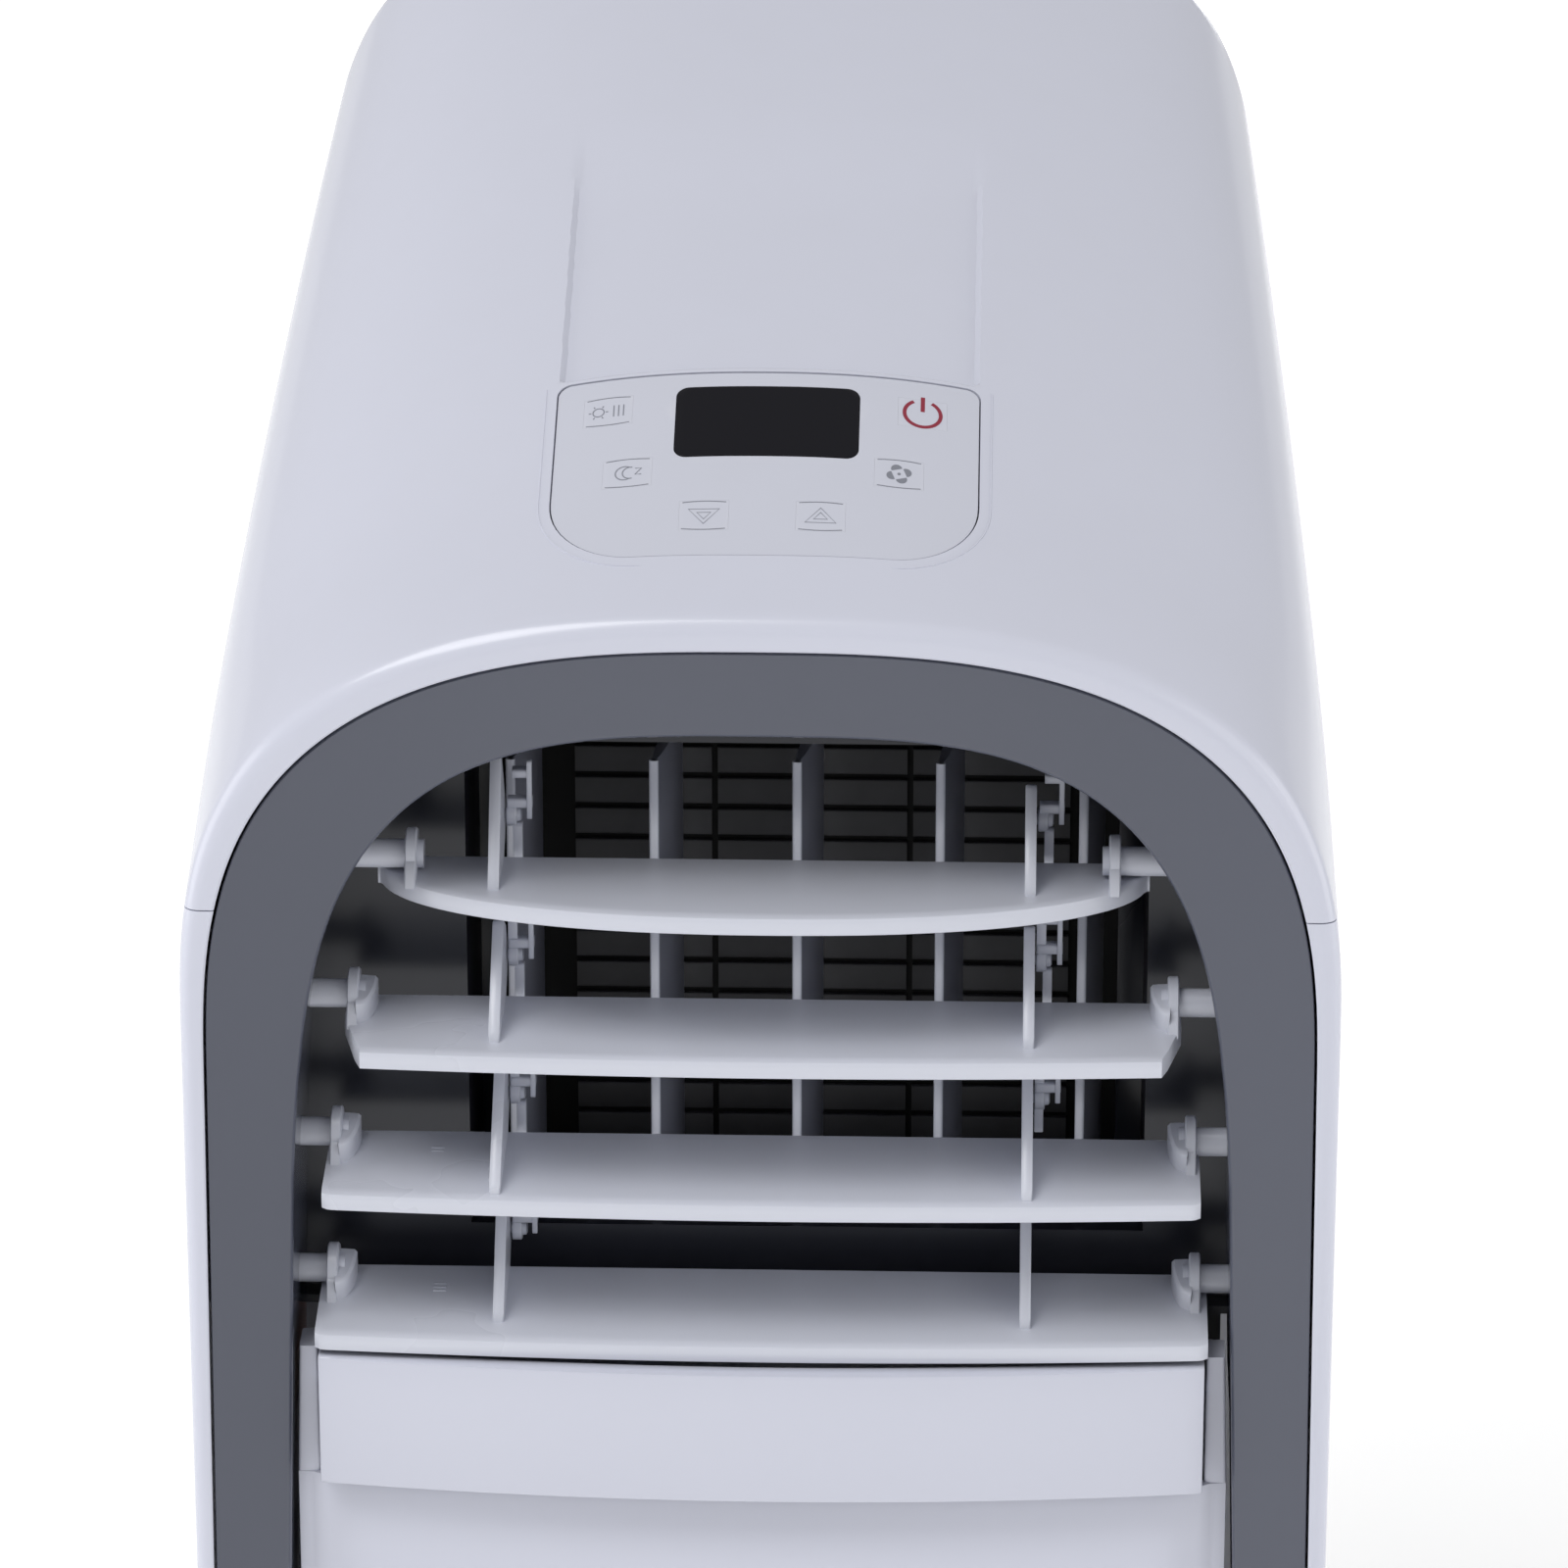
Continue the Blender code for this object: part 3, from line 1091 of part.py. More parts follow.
def exhaust_scroll():
    """Spiral fan housing and the duct from it to the exhaust collar."""
    centre = fan_centre()
    y0, y1 = centre.y - FAN_WIDTH / 2 - 0.008, centre.y + FAN_WIDTH / 2 + 0.006
    shell = prism(scroll_line(SCROLL_WALL), "y", y0 - SCROLL_WALL, y1 + SCROLL_WALL)
    housing = make("exhaust_scroll", shell, DARK)
    rear = REAR - EXHAUST_COLLAR_LENGTH - GAP
    half_x, half_z = EXHAUST_DUCT_HALF
    low, high = EXHAUST_Z - half_z, EXHAUST_Z + half_z
    left, right = EXHAUST_X - half_x, EXHAUST_X + half_x
    joined(housing, box((left, centre.y, low), (right, rear, high)))
    cutter(housing, prism(scroll_line(0.0), "y", y0, y1))
    cutter(housing, box((left + SCROLL_WALL, centre.y, low + SCROLL_WALL),
                        (right - SCROLL_WALL, rear + PAST, high - SCROLL_WALL)))
    cutter(housing, bar((centre.x, y1, centre.z), "y", FAN_RADIUS * 0.72, -PAST, PAST, 28))
    cutter(housing, bar((centre.x, y0, centre.z), "y", 0.009, -PAST, PAST, 14))


def condenser_fan():
    centre = fan_centre()
    y0 = -FAN_WIDTH / 2
    y1, thick, inner = FAN_WIDTH / 2, 0.003, FAN_RADIUS * 0.86
    disc = bar(centre, "y", FAN_RADIUS, y0, y0 + thick, 20)
    wheel = make("condenser_fan", disc, DARK, at=centre, smooth=True)
    rim = [(FAN_RADIUS, y1 - thick), (FAN_RADIUS, y1), (inner, y1), (inner, y1 - thick)]
    rings = [[(p, centre.y + along, q) for p, q in circle(centre.x, centre.z, radius, 20)]
             for radius, along in rim]
    joined(wheel, add_rings(bmesh.new(), rings, close=True))
    blades = bmesh.new()
    for i in range(FAN_BLADES):
        angle = math.tau * i / FAN_BLADES
        out, side = (math.cos(angle), math.sin(angle)), (-math.sin(angle), math.cos(angle))
        section = []
        for share_of_radius, s in ((0.97, 0.0), (0.97, 0.0025), (0.88, 0.010), (0.88, 0.0075)):
            r = FAN_RADIUS * share_of_radius
            section.append((centre.x + out[0] * r + side[0] * s, centre.z + out[1] * r + side[1] * s))
        add_rings(blades, [[(x, centre.y + y, z) for x, z in section]
                           for y in (y0 + thick / 2, y1 - thick / 2)])
    joined(wheel, blades)
    joined(wheel, turned([(0.014, y0 + 0.001), (0.012, 0.002)], centre, "y", 18))
    joined(wheel, bar(centre, "y", 0.004, y0 - 0.014, y0 + 0.001, 12))
    front = centre.y - FAN_WIDTH / 2 - 0.008 - SCROLL_WALL - GAP
    profile = [(0.012, -0.001), (0.034, -0.001), (0.034, -0.034), (0.018, -0.044)]
    face = (centre.x, front, centre.z)
    motor = make("condenser_fan_motor", turned(profile, face, "y", 24), STEEL, smooth=True)
    cutter(motor, bar(face, "y", 0.0055, -0.012, PAST, 14))
    joined(motor, box((centre.x - 0.012, front - 0.030, CASTER_HEIGHT + 2 * GAP + PAN_FLOOR),
                      (centre.x + 0.012, front - 0.010, centre.z - 0.026)))


def compressor():
    floor = CASTER_HEIGHT + 2 * GAP + PAN_FLOOR
    at = (COMPRESSOR_X, FRONT + COMPRESSOR_DEPTH, floor)
    r, h = COMPRESSOR_RADIUS, COMPRESSOR_HEIGHT
    profile = [(r + 0.008, 0.0), (r + 0.008, 0.006), (r, 0.014), (r, h - 0.036), (r * 0.95, h - 0.018),
               (r * 0.70, h - 0.006), (0.010, h)]
    make("compressor", turned(profile, at, "z", 20), ENAMEL, smooth=True)
    ax = at[0] + r + ACCUMULATOR_RADIUS + 0.006
    ar = ACCUMULATOR_RADIUS
    side = (ax, at[1] + 0.012, floor + 0.060)
    profile = [(0.004, -0.004), (ar * 0.8, 0.004), (ar, 0.014), (ar, ACCUMULATOR_HEIGHT - 0.014),
               (ar * 0.8, ACCUMULATOR_HEIGHT - 0.004), (0.004, ACCUMULATOR_HEIGHT + 0.004)]
    make("accumulator", turned(profile, side, "z", 18), ENAMEL, smooth=True)
    return at, side


def pipe(name, points):
    """A copper tube through the points, with eight sides."""
    curve = bpy.data.curves.new(name, "CURVE")
    curve.dimensions = "3D"
    curve.bevel_depth = PIPE_RADIUS
    curve.bevel_resolution = 2
    curve.use_fill_caps = True
    line = curve.splines.new("POLY")
    line.points.add(len(points) - 1)
    for place, point in zip(line.points, points):
        place.co = (*point, 1.0)
    obj = bpy.data.objects.new(name, curve)
    curve.materials.append(material(COPPER))
    bpy.context.scene.collection.objects.link(obj)


def bend(points, radius=0.014, steps=3):
    """The same route with its corners rounded."""
    made = [Vector(points[0])]
    for before, corner, after in zip(points, points[1:], points[2:]):
        corner = Vector(corner)
        to_before, to_after = (Vector(before) - corner), (Vector(after) - corner)
        cut = min(radius, to_before.length * 0.45, to_after.length * 0.45)
        a, b = corner + to_before.normalized() * cut, corner + to_after.normalized() * cut
        for i in range(steps + 1):
            t = i / steps
            made.append(a * (1 - t) ** 2 + corner * 2 * t * (1 - t) + b * t * t)
    made.append(Vector(points[-1]))
    return made


def pipes(compressor_at, accumulator_at):
    x, y, floor = compressor_at
    condenser_x = -condenser_half() + 0.006
    coil_y = coil_rear() - COIL_THICK / 2
    top = max(floor + COMPRESSOR_HEIGHT, condenser_top()) + 0.022
    start = (x, y - 0.020, floor + COMPRESSOR_HEIGHT + 0.0012)
    discharge = [start, (start[0], start[1], top), (x - 0.030, y, top),
                 (condenser_x, coil_y - COIL_THICK, top), (condenser_x, coil_y, top),
                 (condenser_x, coil_y, condenser_top() + GAP + 0.0003)]
    pipe("discharge_pipe", bend(discharge))
    ax, ay, az = accumulator_at
    top_a = az + ACCUMULATOR_HEIGHT + 0.004 + 2 * GAP
    under = DECK_Z - 0.012
    side_x = -condenser_half() - 0.008
    suction = [(ax, ay, top_a), (ax, ay, under), (ax - 0.060, ay + 0.030, under),
               (side_x, coil_y - COIL_THICK, under), (side_x, coil_y, under)]
    pipe("suction_pipe", bend(suction))


def condenser_half():
    return half_width(coil_rear()) - WALL - 0.020


def condenser_top():
    return LOWER_WINDOW[2] + COIL_MARGIN


def louvre_motor():
    """The swing motor outside the right wall of the tunnel, on the third louvre's pin."""
    pivot = louvre_pivot(2)
    wall = tunnel_half(pivot.z) + SURROUND_THICK + 2 * GAP
    body = bar((wall, pivot.y, pivot.z), "x", 0.012, 0.0015, 0.014, 20)
    motor = make("louvre_motor", body, STEEL, smooth=True)
    tabs = rounded(pivot.y - 0.017, pivot.z - 0.005, pivot.y + 0.017, pivot.z + 0.005, 0.004, 3)
    joined(motor, prism(tabs, "x", wall + 0.002, wall + 0.0035))


def main():
    clear_scene()
    top_cover()
    for name, side in (("left", -1), ("right", 1)):
        side_panel(f"{name}_side_panel", side)
        handle(f"{name}_handle", side)
    outlet_surround()
    front_band()
    front_panel()
    for index in range(len(LOUVRE_TILTS)):
        louvre(index)
    louvre_link("louvre_link_left", -1, 4)
    louvre_link("louvre_link_right", 1, 3)
    for index in range(VANE_COUNT):
        vane(index)
    vane_link()
    outlet_duct()
    outlet_guard()
    control_panel()
    base_pan()
    for place, x, y in caster_places():
        caster(place, x, y)
    rear_cover()
    cassette("upper_filter", UPPER_WINDOW)
    cassette("lower_filter", LOWER_WINDOW)
    exhaust_collar()
    drain_plug("drain_plug_upper", UPPER_PLUG_Z)
    drain_plug("drain_plug_lower", LOWER_PLUG_Z)
    cord_inlet()
    deck()
    coil("evaporator", UPPER_WINDOW[0] / 2 + COIL_MARGIN, DECK_Z + DECK_THICK + 0.006,
         UPPER_WINDOW[2] + COIL_MARGIN)
    coil("condenser", condenser_half(), LOWER_WINDOW[1], condenser_top())
    blower_wheel()
    exhaust_scroll()
    condenser_fan()
    pipes(*compressor())
    louvre_motor()


main()
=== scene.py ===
"""Looks of the portable air conditioner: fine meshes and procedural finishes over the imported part.

Frame: metres, +X to the right of someone facing the outlet, +Y to the rear, +Z up, casters on z = 0.
"""

import logging
import math
from dataclasses import dataclass, field
from enum import Enum
from typing import Callable, Iterable, Sequence

import bmesh
import bpy
from mathutils import Matrix, Vector


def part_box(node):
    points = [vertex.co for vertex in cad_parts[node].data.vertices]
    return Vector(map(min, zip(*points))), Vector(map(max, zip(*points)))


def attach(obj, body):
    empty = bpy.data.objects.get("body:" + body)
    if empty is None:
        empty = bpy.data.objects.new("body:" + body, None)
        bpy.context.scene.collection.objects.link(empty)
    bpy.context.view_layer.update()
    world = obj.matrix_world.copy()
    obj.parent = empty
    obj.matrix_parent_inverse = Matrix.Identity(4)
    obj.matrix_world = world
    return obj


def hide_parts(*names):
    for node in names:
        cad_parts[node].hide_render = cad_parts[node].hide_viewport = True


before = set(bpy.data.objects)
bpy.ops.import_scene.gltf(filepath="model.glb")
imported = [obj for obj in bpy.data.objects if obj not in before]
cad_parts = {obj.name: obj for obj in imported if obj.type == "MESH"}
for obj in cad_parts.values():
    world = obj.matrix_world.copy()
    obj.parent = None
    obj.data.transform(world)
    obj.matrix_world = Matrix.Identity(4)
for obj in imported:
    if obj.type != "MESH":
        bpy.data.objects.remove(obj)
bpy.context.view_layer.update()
LOG = logging.getLogger("air_conditioner")

Point = Sequence[float]
Ring = Sequence[Point]
CABINET = "cabinet"
SMOOTH_ANGLE = 32.0


# --- Shape of the cabinet --------------------------------------------------------------------------
@dataclass(frozen=True)
class Arch:
    """A section outline: straight sides, then a superellipse over the top.

    Attributes:
        half: half width below the shoulder.
        top: height of the crown.
        drop: height of the crown above the shoulder.
        power: superellipse power.
        flare: extra half width per metre below the shoulder.
    """

    half: float
    top: float
    drop: float
    power: float
    flare: float = 0.0

    def half_at(self, z: float) -> float:
        """Half width of the outline.

        Args:
            z: height above the floor.

        Returns:
            The half width there.
        """
        rise = min(max((z - (self.top - self.drop)) / self.drop, 0.0), 1.0)
        return self.half * (1 - rise**self.power) ** (1 / self.power) + self.flare * max(
            self.top - self.drop * 0.6 - z, 0.0
        )

    def line(self, low: float, count: int, fine: int = 420) -> list[tuple[float, float]]:
        """Evenly spaced points from the left foot over the crown to the right foot.

        Args:
            low: height of both feet.
            count: number of points.
            fine: number of steps that the spacing is measured on.

        Returns:
            The points as (x, z).
        """
        shoulder = self.top - self.drop
        heights = {low}
        if low < shoulder:
            heights.update(low + (shoulder - low) * i / fine for i in range(fine))
        for i in range(fine):
            z = shoulder + self.drop * math.sin(math.pi / 2 * i / (fine - 1)) ** (2 / self.power)
            if z > low:
                heights.add(z)
        left = [(-self.half_at(z), z) for z in sorted(heights)]
        left[-1] = (0.0, self.top)
        whole = left + [(-x, z) for x, z in left[-2::-1]]
        lengths = [0.0]
        for a, b in zip(whole, whole[1:]):
            lengths.append(lengths[-1] + math.dist(a, b))
        points = []
        k = 0
        for i in range(count):
            wanted = lengths[-1] * i / (count - 1)
            while k < len(lengths) - 2 and lengths[k + 1] < wanted:
                k += 1
            part = (wanted - lengths[k]) / (lengths[k + 1] - lengths[k])
            a, b = whole[k], whole[k + 1]
            points.append((a[0] + (b[0] - a[0]) * part, a[1] + (b[1] - a[1]) * part))
        return points


@dataclass(frozen=True)
class CabinetShape:
    """The sizes of the cabinet and the formulas of its skin, rim, funnel and mouth.

    Attributes:
        width: greatest width.
        depth: rim to rear edge.
        front_height: height of the crown at the rim.
        front_slope: rise of the crown line at the rim.
        rear_slope: its rise at the rear edge.
        taper: share by which the rear is narrower.
        taper_power: how late the taper sets in.
        seam: height of the seam between cover and side panels.
        foot: lower edge of the covers.
        wall: thickness of the covers.
        rear_round: radius of the rolled rear edge.
        rear_roll: depth over which it rolls.
        rim_round: radius of the front rim.
        rear_recess: rear cover behind the rear edge.
        gap: play between neighbouring covers.
        rim_gap: play between rim and surround.
    """

    width: float = 0.330
    depth: float = 0.345
    front_height: float = 0.615
    front_slope: float = 0.447
    rear_slope: float = 0.284
    taper: float = 0.130
    taper_power: float = 1.206
    seam: float = 0.527
    foot: float = 0.066
    wall: float = 0.003
    rear_round: float = 0.018
    rear_roll: float = 0.016
    rim_round: float = 0.004
    rear_recess: float = 0.006
    gap: float = 0.0004
    rim_gap: float = 0.0007

    @property
    def front(self) -> float:
        """Y of the rim."""
        return -self.depth / 2

    @property
    def rear(self) -> float:
        """Y of the rear edge."""
        return self.depth / 2

    def share(self, y: float) -> float:
        """Share of the depth at y, from 0 at the rim to 1 at the rear."""
        return min(max((y - self.front) / self.depth, 0.0), 1.0)

    def crown(self, y: float) -> float:
        """Height of the crown line at y."""
        t = self.share(y)
        return self.front_height + self.depth * (
            self.front_slope * t + (self.rear_slope - self.front_slope) * t * t / 2
        )

    def half_width(self, y: float) -> float:
        """Half width of the cabinet at y."""
        return self.width / 2 * (1 - self.taper * self.share(y) ** self.taper_power)

    def roll_inset(self, y: float) -> float:
        """How far the rolled rear edge pulls the skin in at y."""
        past = y - (self.rear - self.rear_roll)
        return self.rear_round - math.sqrt(self.rear_round**2 - past**2) if past > 0 else 0.0

    def rim_inset(self, y: float) -> float:
        """How far the rounded front rim pulls the skin in at y."""
        past = self.rim_round - (y - self.front)
        return self.rim_round - math.sqrt(max(self.rim_round**2 - past**2, 0.0)) if past > 0 else 0.0

    def skin(self, y: float, inset: float = 0.0) -> Arch:
        """Section of the outer skin.

        Args:
            y: place in depth.
            inset: distance inside the skin.

        Returns:
            The section's arch.
        """
        ease = math.exp(-(((y - self.front) / 0.045) ** 2))
        power = 2.07 + (2.71 - 2.07) * self.share(y) + 0.65 * ease
        pulled = inset + self.roll_inset(y)
        return Arch(
            self.half_width(y) - pulled, self.crown(y) - pulled, 0.1044 + 0.022 * ease - 0.5 * pulled, power
        )

    def funnel(self, outset: float = 0.0) -> Arch:
        """Outer edge of the grey surround, which the white rim goes round."""
        return Arch(
            self.width / 2 - 0.0077 + outset, self.front_height - 0.009 + outset, 0.128 + outset, 2.8, 0.008
        )

    def mouth(self, outset: float = 0.0) -> Arch:
        """The mouth, where the funnel turns into the tunnel."""
        edge = self.funnel(outset)
        return Arch(edge.half - 0.0238, edge.top - 0.0297, 0.165 + outset, 3.3, 0.028)

    def skin_point(self, x: float, y: float, lift: float = 0.0) -> Vector:
        """A point of the top's skin.

        Args:
            x: place across.
            y: place in depth.
            lift: distance along the outward normal.

        Returns:
            The point.
        """

        def height(px: float, py: float) -> float:
            """Height of the skin."""
            arch = self.skin(py)
            rest = 1 - min(abs(px / arch.half), 1.0) ** arch.power
            return arch.top - arch.drop + arch.drop * rest ** (1 / arch.power)

        step = 1e-4
        slope_x = (height(x + step, y) - height(x - step, y)) / (2 * step)
        slope_y = (height(x, y + step) - height(x, y - step)) / (2 * step)
        normal = Vector((-slope_x, -slope_y, 1)).normalized()
        return Vector((x, y, height(x, y))) + normal * lift


SHAPE = CabinetShape()


def circle(u: float, v: float, radius: float, count: int = 32) -> list[tuple[float, float]]:
    """Points round a circle.

    Args:
        u: first number of the centre.
        v: second number of the centre.
        radius: its radius.
        count: number of points.

    Returns:
        The points.
    """
    angles = [math.tau * i / count for i in range(count)]
    return [(u + radius * math.cos(a), v + radius * math.sin(a)) for a in angles]


def rounded(
    u0: float, v0: float, u1: float, v1: float, radius: float, steps: int = 8
) -> list[tuple[float, float]]:
    """A rectangle with rounded corners.

    Args:
        u0: low first number.
        v0: low second number.
        u1: high first number.
        v1: high second number.
        radius: corner radius.
        steps: steps in each corner.

    Returns:
        The outline.
    """
    points = []
    corners = (
        (u1 - radius, v0 + radius, -90),
        (u1 - radius, v1 - radius, 0),
        (u0 + radius, v1 - radius, 90),
        (u0 + radius, v0 + radius, 180),
    )
    for u, v, start in corners:
        for i in range(steps + 1):
            angle = math.radians(start + 90 * i / steps)
            points.append((u + radius * math.cos(angle), v + radius * math.sin(angle)))
    return points


def smooth_step(low: float, high: float, value: float) -> float:
    """0 below `low`, 1 above `high`, and a smooth rise between."""
    t = min(max((value - low) / (high - low), 0.0), 1.0)
    return t * t * (3 - 2 * t)


# --- Shader groups ---------------------------------------------------------------------------------
class ShaderGroups:
    """Builds, once each, the node groups that every finish is made of."""

    @staticmethod
    def _open(name: str, inputs: Sequence[tuple], outputs: Sequence[tuple]) -> tuple:
        """A new group with its named sockets.

        Args:
            name: name of the group.
            inputs: (name, socket type, default) of each input.
            outputs: (name, socket type) of each output.

        Returns:
            The tree, its input node and its output node.
        """
        tree = bpy.data.node_groups.new(name, "ShaderNodeTree")
        for label, kind, default in inputs:
            socket = tree.interface.new_socket(label, in_out="INPUT", socket_type=kind)
            if default is not None:
                socket.default_value = default
        for label, kind in outputs:
            tree.interface.new_socket(label, in_out="OUTPUT", socket_type=kind)
        return tree, tree.nodes.new("NodeGroupInput"), tree.nodes.new("NodeGroupOutput")

    @classmethod
    def moulded_grain(cls) -> bpy.types.NodeTree:
        """Fine moulding texture: a height for the bump and a tone for the roughness."""
        found = bpy.data.node_groups.get("Moulded Grain")
        if found:
            return found
        inputs = [("Vector", "NodeSocketVector", None), ("Scale", "NodeSocketFloat", 900.0)]
        outputs = [("Height", "NodeSocketFloat"), ("Tone", "NodeSocketFloat")]
        tree, into, out = cls._open("Moulded Grain", inputs, outputs)
        fine = tree.nodes.new("ShaderNodeTexNoise")
        fine.inputs["Detail"].default_value = 3.0
        broad = tree.nodes.new("ShaderNodeTexNoise")
        broad.inputs["Scale"].default_value = 9.0
        broad.inputs["Detail"].default_value = 4.0
        tree.links.new(into.outputs["Vector"], fine.inputs["Vector"])
        tree.links.new(into.outputs["Scale"], fine.inputs["Scale"])
        tree.links.new(into.outputs["Vector"], broad.inputs["Vector"])
        tree.links.new(fine.outputs["Fac"], out.inputs["Height"])
        tree.links.new(broad.outputs["Fac"], out.inputs["Tone"])
        return tree

    @staticmethod
    def _patchy_mask(
        tree: bpy.types.NodeTree,
        into: bpy.types.Node,
        out: bpy.types.Node,
        source: bpy.types.NodeSocket,
        span: tuple[float, float],
        noise_scale: float,
        noise_detail: float,
    ) -> None:
        """Turns a value into a mask, breaks it up by noise and scales it by the group's Amount.

        Args:
            tree: the group.
            into: its input node.
            out: its output node.
            source: the value.
            span: the values at which the mask is 0 and 1.
            noise_scale: scale of the noise.
            noise_detail: detail of the noise.
        """
        ramp = tree.nodes.new("ShaderNodeMapRange")
        ramp.inputs["From Min"].default_value, ramp.inputs["From Max"].default_value = span
        noise = tree.nodes.new("ShaderNodeTexNoise")
        noise.inputs["Scale"].default_value = noise_scale
        noise.inputs["Detail"].default_value = noise_detail
        tree.links.new(source, ramp.inputs["Value"])
        tree.links.new(into.outputs["Vector"], noise.inputs["Vector"])
        mask = ramp.outputs["Result"]
        for factor in (noise.outputs["Fac"], into.outputs["Amount"]):
            product = tree.nodes.new("ShaderNodeMath")
            product.operation = "MULTIPLY"
            tree.links.new(mask, product.inputs[0])
            tree.links.new(factor, product.inputs[1])
            mask = product.outputs[0]
        tree.links.new(mask, out.inputs["Mask"])

    @classmethod
    def edge_wear(cls) -> bpy.types.NodeTree:
        """A mask that is 1 on sharp outer edges, broken up by noise."""
        found = bpy.data.node_groups.get("Edge Wear")
        if found:
            return found
        inputs = [
            ("Vector", "NodeSocketVector", None),
            ("Pointiness", "NodeSocketFloat", 0.5),
            ("Amount", "NodeSocketFloat", 0.2),
        ]
        tree, into, out = cls._open("Edge Wear", inputs, [("Mask", "NodeSocketFloat")])
        cls._patchy_mask(tree, into, out, into.outputs["Pointiness"], (0.53, 0.64), 160.0, 2.0)
        return tree

    @classmethod
    def settled_dust(cls) -> bpy.types.NodeTree:
        """A mask of dust on faces that look up."""
        found = bpy.data.node_groups.get("Settled Dust")
        if found:
            return found
        inputs = [
            ("Vector", "NodeSocketVector", None),
            ("Normal", "NodeSocketVector", None),
            ("Amount", "NodeSocketFloat", 0.05),
        ]
        tree, into, out = cls._open("Settled Dust", inputs, [("Mask", "NodeSocketFloat")])
        parts = tree.nodes.new("ShaderNodeSeparateXYZ")
        tree.links.new(into.outputs["Normal"], parts.inputs["Vector"])
        cls._patchy_mask(tree, into, out, parts.outputs["Z"], (0.35, 1.0), 70.0, 6.0)
        return tree


@dataclass(frozen=True)
class Finish:
    """One procedural finish.

    Attributes:
        name: name of the material.
        slot: the record's material slot that it belongs to; not used.
        colour: linear base colour.
        roughness: mean roughness.
        metallic: 0 or 1.
        coat: weight of the clear coat.
        specular: level of the plain reflection.
        grain_scale: noise scale of the moulding texture.
        grain_depth: strength of its bump.
        blotch: share by which the broad tone varies the colour.
        wear: how far worn edges show.
        wear_colour: what shows there.
        dust: how far dust shows on top faces.
    """

    name: str
    slot: str
    colour: tuple[float, float, float]
    roughness: float
    metallic: float = 0.0
    coat: float = 0.0
    specular: float = 0.5
    grain_scale: float = 1100.0
    grain_depth: float = 0.02
    blotch: float = 0.03
    wear: float = 0.15
    wear_colour: tuple[float, float, float] = (0.8, 0.8, 0.82)
    dust: float = 0.06

    def material(self) -> bpy.types.Material:
        """Builds the material on first use.

        Returns:
            The material.
        """
        found = bpy.data.materials.get(self.name)
        if found:
            return found
        made = bpy.data.materials.new(self.name)
        made.use_nodes = True
        tree = made.node_tree
        nodes, links = tree.nodes, tree.links
        shader = nodes["Principled BSDF"]
        shader.inputs["Metallic"].default_value = self.metallic
        shader.inputs["Coat Weight"].default_value = self.coat
        shader.inputs["Coat Roughness"].default_value = 0.08
        shader.inputs["Specular IOR Level"].default_value = self.specular
        place = nodes.new("ShaderNodeTexCoord")
        shape = nodes.new("ShaderNodeNewGeometry")

        def effect(group: bpy.types.NodeTree, socket: str, value: float) -> bpy.types.Node:
            """One of the shader groups, reading the piece's own coordinates."""
            node = nodes.new("ShaderNodeGroup")
            node.node_tree = group
            node.inputs[socket].default_value = value
            links.new(place.outputs["Object"], node.inputs["Vector"])
            return node

        grain = effect(ShaderGroups.moulded_grain(), "Scale", self.grain_scale)
        edge = effect(ShaderGroups.edge_wear(), "Amount", self.wear)
        links.new(shape.outputs["Pointiness"], edge.inputs["Pointiness"])
        dust = effect(ShaderGroups.settled_dust(), "Amount", self.dust)
        links.new(shape.outputs["Normal"], dust.inputs["Normal"])

        tone = self._mix(tree, self.colour, tuple(c * (1 - self.blotch * 2) for c in self.colour))
        links.new(grain.outputs["Tone"], tone.inputs["Factor"])
        worn = self._mix(tree, None, self.wear_colour)
        links.new(edge.outputs["Mask"], worn.inputs["Factor"])
        links.new(tone.outputs[2], worn.inputs[6])
        dusty = self._mix(tree, None, (0.42, 0.40, 0.37))
        links.new(dust.outputs["Mask"], dusty.inputs["Factor"])
        links.new(worn.outputs[2], dusty.inputs[6])
        links.new(dusty.outputs[2], shader.inputs["Base Color"])

        rough = nodes.new("ShaderNodeMapRange")
        rough.inputs["To Min"].default_value = self.roughness * 0.88
        rough.inputs["To Max"].default_value = min(self.roughness * 1.12 + 0.01, 1.0)
        links.new(grain.outputs["Tone"], rough.inputs["Value"])
        links.new(rough.outputs["Result"], shader.inputs["Roughness"])
        bump = nodes.new("ShaderNodeBump")
        bump.inputs["Strength"].default_value = self.grain_depth
        bump.inputs["Distance"].default_value = 0.0002
        links.new(grain.outputs["Height"], bump.inputs["Height"])
        links.new(bump.outputs["Normal"], shader.inputs["Normal"])
        made.diffuse_color = (*self.colour, 1.0)
        return made

    @staticmethod
    def _mix(tree: bpy.types.NodeTree, first: tuple | None, second: tuple) -> bpy.types.Node:
        """A colour mix node with its fixed colours set."""
        node = tree.nodes.new("ShaderNodeMix")
        node.data_type = "RGBA"
        if first is not None:
            node.inputs[6].default_value = (*first, 1.0)
        node.inputs[7].default_value = (*second, 1.0)
        return node


